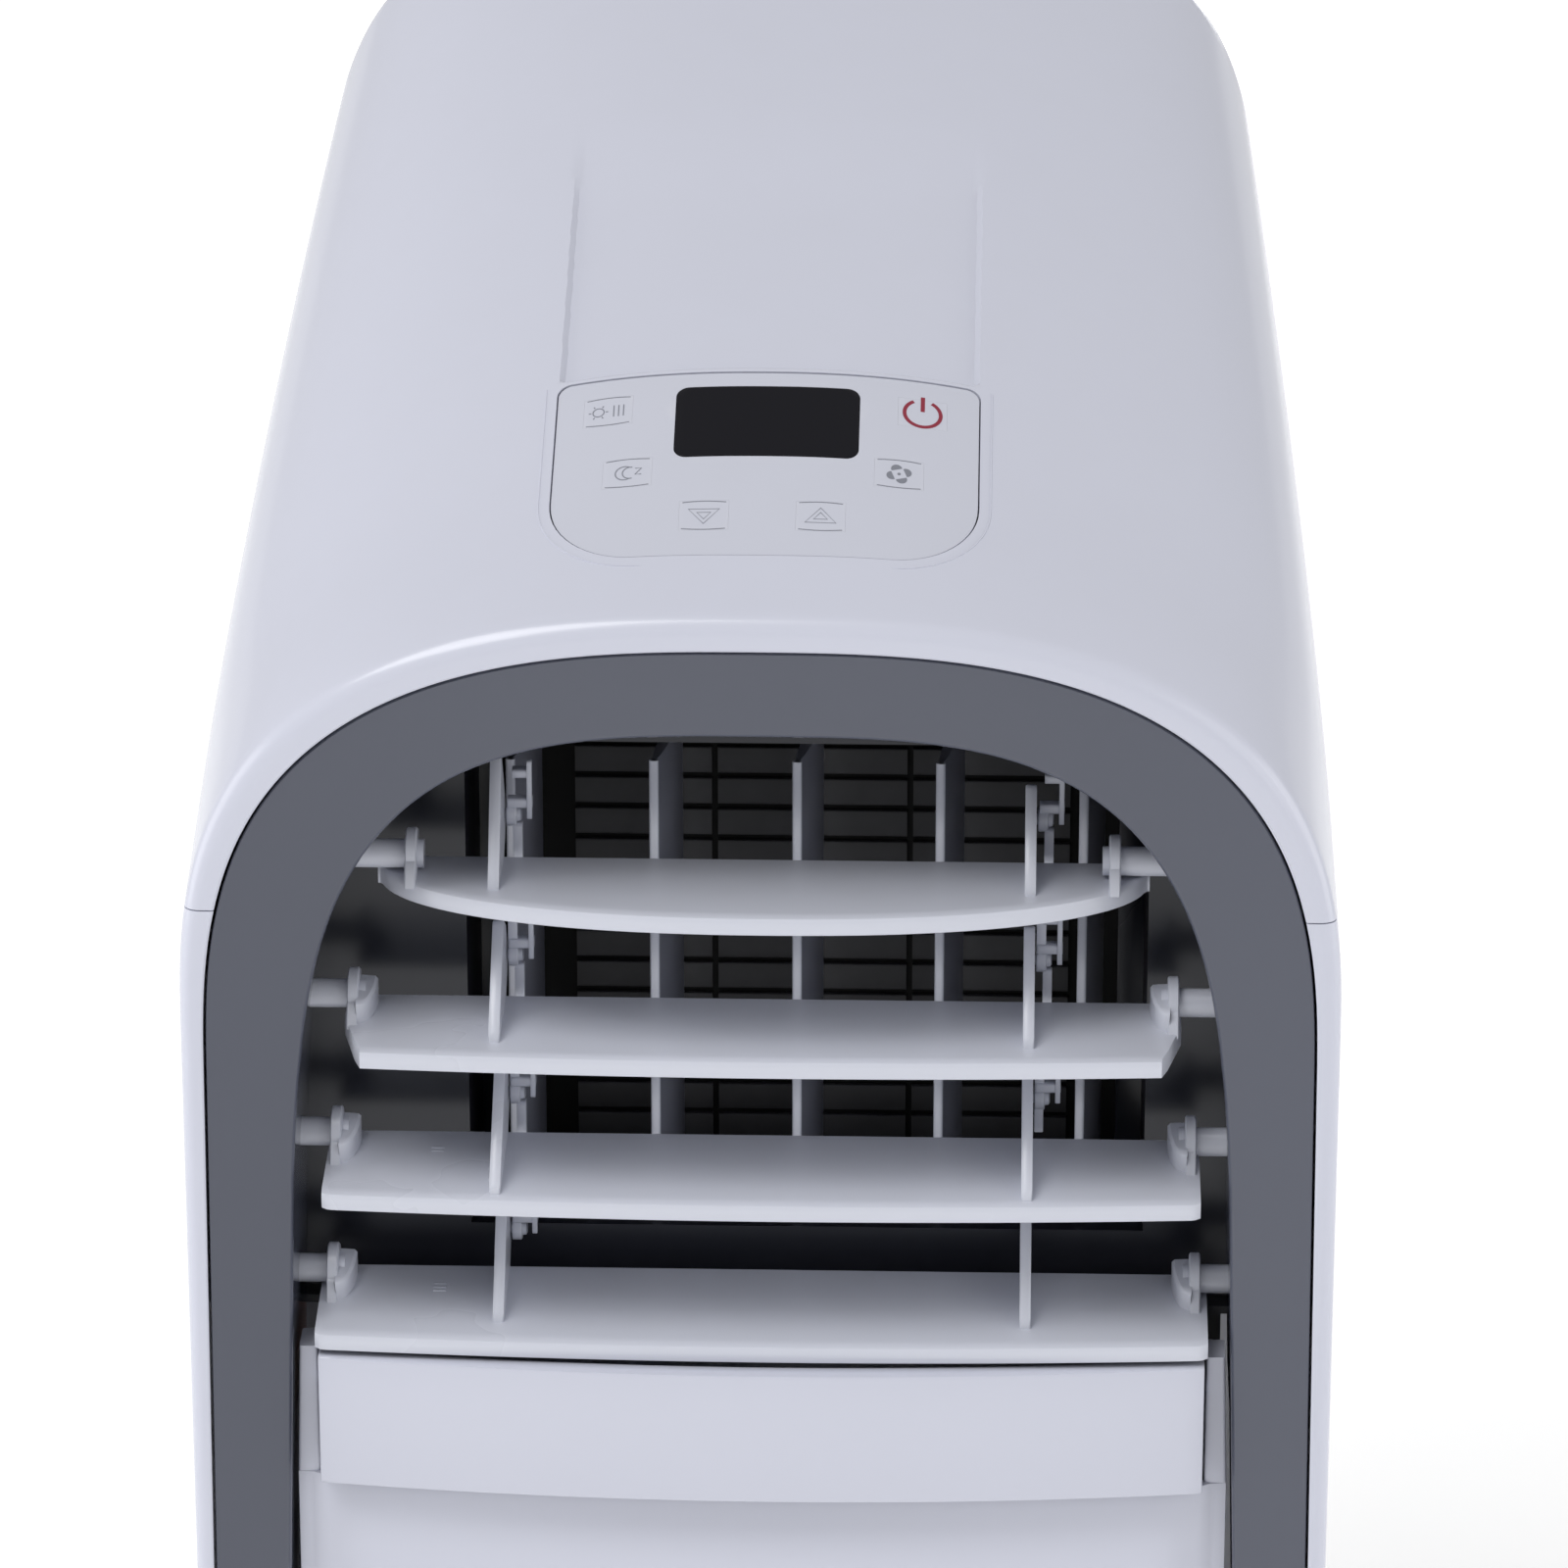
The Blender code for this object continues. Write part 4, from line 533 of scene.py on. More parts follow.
class Look(Enum):
    """Every finish of the object."""

    WHITE = Finish(
        "Cabinet white", "cabinet_white", (0.615, 0.63, 0.725), 0.24, coat=0.2, wear=0.03, blotch=0.012
    )
    LOUVRE = Finish(
        "Louvre white", "louvre_white", (0.64, 0.66, 0.74), 0.28, coat=0.12, wear=0.05, blotch=0.015
    )
    FILM = Finish("Key film", "panel_grey", (0.60, 0.615, 0.70), 0.32, grain_depth=0.01)
    HANDLE = Finish("Pale grey plastic", "handle_grey", (0.50, 0.51, 0.56), 0.45, grain_depth=0.06)
    SURROUND = Finish(
        "Surround grey",
        "surround_grey",
        (0.086, 0.093, 0.124),
        0.13,
        coat=0.25,
        specular=0.35,
        wear=0.0,
        grain_depth=0.004,
        dust=0.02,
    )
    DUCT = Finish("Duct dark grey", "duct_dark", (0.022, 0.024, 0.034), 0.28, wear=0.02, dust=0.02)
    # Painted shade: the vanes are louvre white, painted a darker blue grey for the shade deep in the duct.
    VANE_PAINTED_SHADE = Finish("Vane white with painted shade", "louvre_white", (0.235, 0.245, 0.30), 0.30, wear=0.0, dust=0.0)
    GUARD = Finish("Guard grey", "guard_black", (0.050, 0.050, 0.054), 0.55, wear=0.02, dust=0.02)
    # Painted shade: a near-black that stands for the shade in gaps and openings, behind the guard's slats and
    # on the rear drain slots.
    GAP_SHADE = Finish("Guard gap painted shade", "guard_black", (0.004, 0.004, 0.004), 0.8, wear=0.0, dust=0.0)
    GLASS = Finish(
        "Display smoke", "display_smoke", (0.008, 0.0078, 0.011), 0.25, specular=0.15, wear=0.0, dust=0.0
    )
    INK = Finish("Icon grey ink", "panel_grey", (0.22, 0.23, 0.27), 0.5, wear=0.0, dust=0.0)
    RED = Finish("Power red ink", "panel_grey", (0.27, 0.022, 0.045), 0.4, wear=0.0, dust=0.0)
    STEEL = Finish("Galvanised steel", "motor_steel", (0.45, 0.46, 0.47), 0.42, metallic=1.0, blotch=0.12)
    SCREW = Finish("Screw steel", "motor_steel", (0.50, 0.50, 0.51), 0.30, metallic=1.0)
    ALLOY = Finish(
        "Fin aluminium", "fin_aluminium", (0.62, 0.63, 0.64), 0.36, metallic=1.0, grain_scale=400.0
    )
    COPPER = Finish("Copper tube", "copper", (0.62, 0.27, 0.15), 0.30, metallic=1.0, blotch=0.15)
    ENAMEL = Finish("Compressor enamel", "compressor_enamel", (0.02, 0.02, 0.022), 0.34, coat=0.4)
    BOARD = Finish("Board green", "board_green", (0.02, 0.11, 0.05), 0.45)
    NYLON = Finish("Caster nylon", "caster_nylon", (0.040, 0.041, 0.046), 0.46, wear=0.10)
    TREAD = Finish("Caster tread", "caster_tread", (0.050, 0.050, 0.052), 0.70, grain_depth=0.10)
    RUBBER = Finish("Plug rubber", "plug_rubber", (0.030, 0.030, 0.031), 0.78, grain_depth=0.08)
    BASE = Finish("Base dark grey", "duct_dark", (0.060, 0.062, 0.070), 0.50, grain_depth=0.08, dust=0.10)
    MESH = Finish("Filter mesh", "handle_grey", (0.09, 0.09, 0.10), 0.6, wear=0.0)


# --- Mesh making -----------------------------------------------------------------------------------
def converted(obj: bpy.types.Object) -> bpy.types.Object:
    """Turns the evaluated object into a plain mesh and drops its modifiers.

    Args:
        obj: the object.

    Returns:
        The same object.
    """
    graph = bpy.context.evaluated_depsgraph_get()
    graph.update()
    mesh = bpy.data.meshes.new_from_object(obj.evaluated_get(graph))
    obj.modifiers.clear()
    old = obj.data
    obj.data = mesh
    mesh.name = obj.name
    bpy.data.meshes.remove(old)
    return obj


class ArrayNodes:
    """Geometry Nodes that repeat a shape along a step, turning each copy further."""

    NAME = "Repeat Along Step"

    @classmethod
    def tree(cls) -> bpy.types.NodeTree:
        """The node tree, built on first use.

        Returns:
            The tree.
        """
        found = bpy.data.node_groups.get(cls.NAME)
        if found:
            return found
        tree = bpy.data.node_groups.new(cls.NAME, "GeometryNodeTree")
        face = tree.interface
        face.new_socket("Shape", in_out="INPUT", socket_type="NodeSocketGeometry")
        count = face.new_socket("Count", in_out="INPUT", socket_type="NodeSocketInt")
        count.default_value = 2
        face.new_socket("Step", in_out="INPUT", socket_type="NodeSocketVector")
        face.new_socket("Turn", in_out="INPUT", socket_type="NodeSocketVector")
        face.new_socket("Material", in_out="INPUT", socket_type="NodeSocketMaterial")
        face.new_socket("Copies", in_out="OUTPUT", socket_type="NodeSocketGeometry")
        nodes, links = tree.nodes, tree.links
        into, out = nodes.new("NodeGroupInput"), nodes.new("NodeGroupOutput")
        line = nodes.new("GeometryNodeMeshLine")
        line.mode = "OFFSET"
        index = nodes.new("GeometryNodeInputIndex")
        turn = nodes.new("ShaderNodeVectorMath")
        turn.operation = "SCALE"
        place = nodes.new("GeometryNodeInstanceOnPoints")
        real = nodes.new("GeometryNodeRealizeInstances")
        paint = nodes.new("GeometryNodeSetMaterial")
        links.new(into.outputs["Count"], line.inputs["Count"])
        links.new(into.outputs["Step"], line.inputs["Offset"])
        links.new(into.outputs["Turn"], turn.inputs[0])
        links.new(index.outputs[0], turn.inputs["Scale"])
        links.new(line.outputs["Mesh"], place.inputs["Points"])
        links.new(into.outputs["Shape"], place.inputs["Instance"])
        links.new(turn.outputs[0], place.inputs["Rotation"])
        links.new(place.outputs["Instances"], real.inputs["Geometry"])
        links.new(real.outputs["Geometry"], paint.inputs["Geometry"])
        links.new(into.outputs["Material"], paint.inputs["Material"])
        links.new(paint.outputs["Geometry"], out.inputs["Copies"])
        return tree

    @classmethod
    def apply(
        cls, obj: bpy.types.Object, finish: Finish, count: int, step: Point, turn: Point = (0.0, 0.0, 0.0)
    ) -> None:
        """Repeats the object's own mesh.

        Args:
            obj: the object that holds one copy.
            finish: the copies' finish.
            count: number of copies.
            step: shift from one copy to the next.
            turn: turn from one copy to the next, about the object's origin, in radians.
        """
        modifier = obj.modifiers.new(cls.NAME, "NODES")
        modifier.node_group = cls.tree()
        values = {"Count": count, "Step": tuple(step), "Turn": tuple(turn), "Material": finish.material()}
        for item in cls.tree().interface.items_tree:
            if item.name in values and item.in_out == "INPUT":
                modifier[item.identifier] = values[item.name]
        converted(obj)


class Solid:
    """Gathers the closed skins of one piece, then turns them into an object on its body.

    Args:
        name: name of the piece.
    """

    def __init__(self, name: str) -> None:
        """Starts an empty piece."""
        self.name = name
        self.bm = bmesh.new()

    def rings(self, rings: Sequence[Ring], close: bool = False) -> "Solid":
        """Skins closed rings that hold the same number of points.

        Args:
            rings: the rings, in order.
            close: whether the last ring joins the first, as in a hoop.

        Returns:
            This solid.
        """
        rows = [[self.bm.verts.new(p) for p in ring] for ring in rings]
        pairs = list(zip(rows, rows[1:]))
        if close:
            pairs.append((rows[-1], rows[0]))
        count = len(rows[0])
        for a, b in pairs:
            for i in range(count):
                j = (i + 1) % count
                self.bm.faces.new((a[i], a[j], b[j], b[i]))
        if not close:
            self.bm.faces.new(rows[0][::-1])
            self.bm.faces.new(rows[-1])
        return self

    def prism(self, outline: Ring, axis: str, low: float, high: float) -> "Solid":
        """A straight prism along an axis.

        Args:
            outline: its section, as the other two axes in x, y, z order.
            axis: "x", "y" or "z".
            low: where it starts.
            high: where it ends.

        Returns:
            This solid.
        """

        def corner(point: Point, along: float) -> list[float]:
            """A point of the outline, moved along the axis."""
            numbers = list(point)
            numbers.insert("xyz".index(axis), along)
            return numbers

        return self.rings([[corner(p, along) for p in outline] for along in (low, high)])

    def box(self, low: Point, high: Point) -> "Solid":
        """A plain block, used only inside a larger piece.

        Args:
            low: lowest corner.
            high: highest corner.

        Returns:
            This solid.
        """
        corners = [(low[0], low[1]), (high[0], low[1]), (high[0], high[1]), (low[0], high[1])]
        return self.rings([[(x, y, z) for x, y in corners] for z in (low[2], high[2])])

    def turned(self, profile: Ring, centre: Point, axis: str, count: int = 32, hoop: bool = False) -> "Solid":
        """A turned shape.

        Args:
            profile: (radius, distance along the axis).
            centre: point on the axis.
            axis: "x", "y" or "z".
            count: sides.
            hoop: whether the profile closes on itself, so that the shape has a bore.

        Returns:
            This solid.
        """
        rings = []
        for radius, along in profile:
            ring = []
            for a, b in circle(0, 0, radius, count):
                offset = {"x": (along, a, b), "y": (a, along, b), "z": (a, b, along)}[axis]
                ring.append(tuple(c + o for c, o in zip(centre, offset)))
            rings.append(ring)
        return self.rings(rings, close=hoop)

    def patch(self, rows: Sequence[Point], low: float, high: float, columns: int) -> "Solid":
        """A plate that follows the top's skin.

        Args:
            rows: (y, left x, right x) of each row.
            low: lift of its underside.
            high: lift of its face.
            columns: cells across.

        Returns:
            This solid.
        """

        def points(row: Point, lift: float) -> list[Vector]:
            """One row of the plate."""
            y, left, right = row
            xs = [left + (right - left) * i / columns for i in range(columns + 1)]
            return [SHAPE.skin_point(x, y, lift) for x in xs]

        return self.plate([points(row, lift) for row in rows] for lift in (low, high))

    def plate(self, grids: Iterable[Sequence[Ring]]) -> "Solid":
        """A plate between two grids of points that hold the same rows and columns.

        Args:
            grids: the two grids, row by row.

        Returns:
            This solid.
        """
        loops = []
        for points in grids:
            grid = [[self.bm.verts.new(p) for p in row] for row in points]
            for a, b in zip(grid, grid[1:]):
                for i in range(len(a) - 1):
                    self.bm.faces.new((a[i], a[i + 1], b[i + 1], b[i]))
            sides = [row[-1] for row in grid[1:]], [row[0] for row in grid[-2:0:-1]]
            loops.append(grid[0] + sides[0] + grid[-1][-2::-1] + sides[1])
        near, far = loops
        for i in range(len(near)):
            j = (i + 1) % len(near)
            self.bm.faces.new((near[i], near[j], far[j], far[i]))
        return self

    def object(self, finish: Finish | None = None, angle: float = SMOOTH_ANGLE) -> bpy.types.Object:
        """The object, with its normals outward and its soft edges smooth.

        Args:
            finish: its finish.
            angle: the sharpest angle in degrees that is still shaded smooth.

        Returns:
            The object, which rides on nothing yet.
        """
        bmesh.ops.remove_doubles(self.bm, verts=self.bm.verts, dist=1e-7)
        bmesh.ops.recalc_face_normals(self.bm, faces=self.bm.faces)
        mesh = bpy.data.meshes.new(self.name)
        self.bm.to_mesh(mesh)
        self.bm.free()
        mesh.shade_smooth()
        mesh.set_sharp_from_angle(angle=math.radians(angle))
        if finish:
            mesh.materials.append(finish.material())
        obj = bpy.data.objects.new(self.name, mesh)
        bpy.context.scene.collection.objects.link(obj)
        return obj

    def mount(
        self,
        body: str,
        look: Look,
        *nodes: str,
        angle: float = SMOOTH_ANGLE,
        rounding: Sequence[float] = (),
        copies: Sequence = (),
        shift: Point | None = None,
    ) -> None:
        """Finishes the piece and puts it on its body.

        Args:
            body: the body that it rides on.
            look: its finish.
            nodes: the CAD nodes that it stands for.
            angle: the sharpest angle in degrees that is still shaded smooth.
            rounding: width, segments and angle of its rounded edges, as soften() takes them.
            copies: count, step and turn of what repeats, as ArrayNodes.apply() takes them.
            shift: where the copies go, when they were made about the origin.
        """
        obj = self.object(look.value, angle)
        if rounding:
            soften(obj, *rounding)
        if copies:
            ArrayNodes.apply(obj, look.value, *copies)
        if shift is not None:
            obj.data.transform(Matrix.Translation(shift))
        place(obj, body, look.value, *nodes)


def cut(obj: bpy.types.Object, tool: Solid, angle: float = SMOOTH_ANGLE) -> None:
    """Cuts a solid out of an object's mesh.

    Args:
        obj: the object.
        tool: what is cut away.
        angle: the sharpest angle in degrees that stays smooth.
    """
    helper = tool.object()
    step = obj.modifiers.new("cut", "BOOLEAN")
    step.operation = "DIFFERENCE"
    step.solver = "EXACT"
    step.object = helper
    converted(obj)
    bpy.data.objects.remove(helper, do_unlink=True)
    obj.data.shade_smooth()
    obj.data.set_sharp_from_angle(angle=math.radians(angle))


def soften(obj: bpy.types.Object, width: float, segments: int = 2, angle: float = 35.0) -> None:
    """Rounds an object's sharp edges.

    Args:
        obj: the object.
        width: width of the rounding.
        segments: steps across it.
        angle: edges sharper than this, in degrees, are rounded.
    """
    step = obj.modifiers.new("soften", "BEVEL")
    step.width = width
    step.segments = segments
    step.limit_method = "ANGLE"
    step.angle_limit = math.radians(angle)
    step.use_clamp_overlap = True
    step.harden_normals = False
    converted(obj)
    obj.data.shade_smooth()
    obj.data.set_sharp_from_angle(angle=math.radians(40))


def place(obj: bpy.types.Object, body: str, finish: Finish, *nodes: str) -> bpy.types.Object:
    """Puts a finished piece on its body.

    Args:
        obj: the piece.
        body: the body that it rides on.
        finish: its finish; not used.
        nodes: the CAD nodes that it stands for.

    Returns:
        The piece.
    """
    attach(obj, body)
    if nodes:
        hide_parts(*nodes)
    LOG.info("%s on %s: %d faces", obj.name, body, len(obj.data.polygons))
    return obj


def dress(node: str, look: Look) -> None:
    """Gives a CAD node that stays in view its finish.

    Args:
        node: the node.
        look: the finish.
    """
    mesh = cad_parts[node].data
    mesh.materials.clear()
    mesh.materials.append(look.value.material())


class Assembly:
    """What every sub-assembly offers."""

    def build(self) -> None:
        """Builds and dresses its pieces."""
        raise NotImplementedError


# --- Cabinet ---------------------------------------------------------------------------------------
@dataclass
class CabinetShell(Assembly):
    """Top cover with its shallow channel, and the two side panels.

    Attributes:
        columns: points across the cover.
        channel_half: half width of the channel behind the key film.
        channel_front: where it starts, behind the rim.
        channel_rear: where it has faded out.
        channel_depth: its depth.
        rim_edge: chamfer on the rim's inner edge.
    """

    columns: int = 321
    channel_half: float = 0.0605
    channel_front: float = 0.0985
    channel_rear: float = 0.215
    channel_depth: float = 0.0020
    rim_edge: float = 0.0005

    def sink(self, x: float, y: float) -> float:
        """Depth of the channel at a point of the cover."""
        back = y - SHAPE.front
        across = 1 - smooth_step(self.channel_half - 0.0019, self.channel_half - 0.0003, abs(x))
        along = smooth_step(self.channel_front, self.channel_front + 0.0025, back)
        fade = 1 - smooth_step(self.channel_rear - 0.05, self.channel_rear, back)
        return self.channel_depth * across * along * fade

    def columns_of(self, arch: Arch, low: float) -> list[tuple[float, float]]:
        """Points across the cover, with two of them on the edges of the channel.

        Args:
            arch: the section.
            low: height of both feet.

        Returns:
            The points as (x, z).
        """
        dense = arch.line(low, 1400)
        last = len(dense) - 1
        edge = next(i for i in range(last // 2, last) if dense[i + 1][0] > self.channel_half)
        start, end = last - edge - 0.5, edge + 0.5
        inner = 2 * round(self.columns * 0.115) + 1
        outer = (self.columns - inner) // 2
        marks = [start * i / outer for i in range(outer)]
        marks += [start + (end - start) * i / (inner - 1) for i in range(inner)]
        marks += [end + (last - end) * i / outer for i in range(1, outer + 1)]
        points = []
        for mark in marks:
            k = min(int(mark), last - 1)
            a, b, part = dense[k], dense[k + 1], mark - k
            points.append((a[0] + (b[0] - a[0]) * part, a[1] + (b[1] - a[1]) * part))
        return points

    def stations(self) -> list[float]:
        """Places in depth of the outer sections, rim to rear edge."""
        rim = [SHAPE.front + SHAPE.rim_round * (1 - math.cos(math.pi / 2 * i / 7)) for i in range(8)]
        start, end = SHAPE.front + SHAPE.rim_round, SHAPE.rear - SHAPE.rear_roll
        middle = [start + (end - start) * i / 104 for i in range(1, 105)]
        fine = [SHAPE.front + self.channel_front + 0.0006 * i for i in range(6)]
        rear = [end + SHAPE.rear_roll * math.sin(math.pi / 2 * i / 8) for i in range(1, 9)]
        return sorted(rim + middle + fine) + rear

    def sections(self) -> list[tuple[float, Arch, bool]]:
        """(y, arch, outer) round the wall's profile."""
        outer = [(y, SHAPE.skin(y, SHAPE.rim_inset(y)), True) for y in self.stations()]
        back = SHAPE.rear - SHAPE.rear_roll
        lip = SHAPE.front + 2 * SHAPE.rim_round
        inner_places = [SHAPE.rear - SHAPE.rear_roll * s for s in (0.0, 0.3, 0.6)]
        inner_places += [back + (lip - back) * i / 16 for i in range(17)]
        inner = [(y, SHAPE.skin(y, SHAPE.wall), False) for y in inner_places]
        funnel = SHAPE.funnel(SHAPE.rim_gap)
        rim = [(y, funnel, False) for y in (lip, SHAPE.front + 0.0012, SHAPE.front + self.rim_edge)]
        rim.append((SHAPE.front, SHAPE.funnel(SHAPE.rim_gap + self.rim_edge), False))
        return outer + inner + rim

    def build(self) -> None:
        """Builds the cover and both side panels."""
        low = SHAPE.seam + SHAPE.gap / 2
        columns = []
        for y, arch, outer in self.sections():
            line = self.columns_of(arch, low)
            columns.append([(x, y, z - (self.sink(x, y) if outer else 0.0)) for x, z in line])
        rings = [[column[i] for column in columns] for i in range(len(columns[0]))]
        finish = Look.WHITE.value
        cover = Solid("top_cover_skin").rings(rings).object(finish)
        cut(cover, KeyFilm.outline_solid(0.0004, -0.010, 0.010))
        place(cover, CABINET, finish, "top_cover")
        for name, side in (("left_side_panel", -1), ("right_side_panel", 1)):
            self.side(name, side)

    def side(self, name: str, side: int) -> None:
        """One side panel, with the mouth of its hand cup.

        Args:
            name: its node.
            side: -1 for the left, 1 for the right.
        """
        top = SHAPE.seam - SHAPE.gap / 2
        heights = [SHAPE.foot + (top - 0.10 - SHAPE.foot) * i / 26 for i in range(26)]
        heights += [top - 0.10 + 0.10 * i / 20 for i in range(21)]
        sections = self.sections()
        rings = [[(side * arch.half_at(z), y, z) for y, arch, _ in sections] for z in heights]
        finish = Look.WHITE.value
        panel = Solid(f"{name}_skin").rings(rings).object(finish)
        cut(panel, HandCup(side).mouth_solid(SHAPE.gap))
        place(panel, CABINET, finish, name)


@dataclass
class HandCup(Assembly):
    """A hand cup in a side panel.

    Attributes:
        side: -1 for the left, 1 for the right.
        length: length of its mouth.
        height: height of its mouth.
        depth: depth behind the panel.
        y: middle of it.
        z: middle of it.
        corner: corner radius.
        wall: thickness.
        rib_pitch: distance between the finger ribs.
    """

    side: int
    length: float = 0.100
    height: float = 0.034
    depth: float = 0.024
    y: float = 0.060
    z: float = 0.470
    corner: float = 0.0115
    wall: float = 0.002
    rib_pitch: float = 0.008

    def loop(self, inset: float) -> list[tuple[float, float]]:
        """The mouth's outline, drawn in by `inset`."""
        return rounded(
            self.y - self.length / 2 + inset,
            self.z - self.height / 2 + inset,
            self.y + self.length / 2 - inset,
            self.z + self.height / 2 - inset,
            self.corner - inset,
            10,
        )

    def mouth_solid(self, grow: float) -> Solid:
        """The solid that opens the side panel."""
        reach = SHAPE.half_width(self.y)
        ends = sorted((self.side * (reach - 0.03), self.side * (reach + 0.03)))
        return Solid("mouth").prism(self.loop(-grow), "x", *ends)

    def build(self) -> None:
        """Builds the cup with a rounded floor and finger ribs."""
        floor = SHAPE.half_width(self.y) - self.depth
        s = self.side

        def ring(inset: float, reach: Callable[[float], float]) -> Ring:
            """A loop of the cup, at the distance from the middle that `reach` gives."""
            return [(s * reach(y), y, z) for y, z in self.loop(inset)]

        def edge(y: float) -> float:
            """Where the cup's rim lies."""
            return SHAPE.half_width(y) - 0.0005

        rings = [ring(0.003, lambda y: floor), ring(0.0, lambda y: floor + 0.003), ring(0.0, edge)]
        rings += [ring(0.0006, lambda y: edge(y) + 0.0003), ring(self.wall, lambda y: edge(y) - 0.0006)]
        rings += [ring(self.wall, lambda y: floor + self.wall + 0.005)]
        for i in range(1, 5):
            a = math.pi / 2 * i / 4
            inset = self.wall + 0.005 * (1 - math.cos(a))
            rings.append(ring(inset, lambda y, a=a: floor + self.wall + 0.005 * (1 - math.sin(a))))
        name = "left" if s < 0 else "right"
        Solid(f"{name}_hand_cup").rings(rings).mount(CABINET, Look.HANDLE, f"{name}_handle")
        x = floor + self.wall
        section = [(s * x, -0.0011), (s * (x + 0.0010), -0.0007), (s * (x + 0.0010), 0.0007), (s * x, 0.0011)]
        low, high = self.z - 0.009, self.z + 0.009
        first = self.y - 4 * self.rib_pitch
        rib = [[(a, first + b, z) for a, b in section] for z in (low, high)]
        ribs = Solid(f"{name}_hand_cup_ribs").rings(rib)
        ribs.mount(CABINET, Look.HANDLE, copies=(9, (0, self.rib_pitch, 0)))


# --- Outlet ----------------------------------------------------------------------------------------
@dataclass
class OutletSurround(Assembly):
    """The glossy grey arch: a funnel from the rim to the mouth, then the tunnel.

    Attributes:
        count: points along the arch.
        set_back: its front edge behind the rim.
        mouth_depth: the mouth behind the rim.
        tunnel: depth of the tunnel.
        leg: depth of the legs beside the front panel.
        thick: wall.
        fillet: rounding between funnel and tunnel.
        leg_top: height where the tunnel ends and the legs begin.
    """

    count: int = 281
    set_back: float = 0.001
    mouth_depth: float = 0.012
    tunnel: float = 0.060
    leg: float = 0.036
    thick: float = 0.0025
    fillet: float = 0.0022
    leg_top: float = 0.3586

    def build(self) -> None:
        """Builds the surround with the sockets of the louvre pins."""
        face = SHAPE.funnel().line(SHAPE.foot, self.count)
        mouth = SHAPE.mouth().line(SHAPE.foot, self.count)
        back = SHAPE.mouth(self.thick).line(SHAPE.foot, self.count)
        rings = []
        front = SHAPE.front + self.set_back
        deep = SHAPE.front + self.mouth_depth
        for (fx, fz), (mx, mz), (bx, bz) in zip(face, mouth, back):
            end = SHAPE.front + (self.tunnel if mz > self.leg_top else self.leg)
            outer, corner = Vector((fx, front, fz)), Vector((mx, deep, mz))
            slope = (outer - corner).normalized()
            a, b = corner + slope * self.fillet, corner + Vector((0, self.fillet, 0))
            ring = [outer + Vector((0, 0.0006, 0)), outer - slope * 0.0004]
            for i in range(7):
                t = i / 6
                ring.append(a * (1 - t) ** 2 + corner * 2 * t * (1 - t) + b * t * t)
            ring += [Vector((mx, end, mz)), Vector((bx, end, bz)), Vector((bx, deep + self.thick, bz))]
            ring.append(Vector((fx, front + self.thick, fz)))
            rings.append(ring)
        finish = Look.SURROUND.value
        surround = Solid("surround_arch").rings(rings).object(finish, 40)
        sockets = Solid("sockets")
        for louvre in LOUVRES:
            reach = SHAPE.mouth().half_at(louvre.pivot.z)
            for side in (-1, 1):
                ends = sorted((side * (reach - 0.02), side * (reach + 0.012)))
                sockets.prism(circle(louvre.pivot.y, louvre.pivot.z, 0.0047, 28), "x", *ends)
        cut(surround, sockets, 40)
        place(surround, CABINET, finish, "outlet_surround")


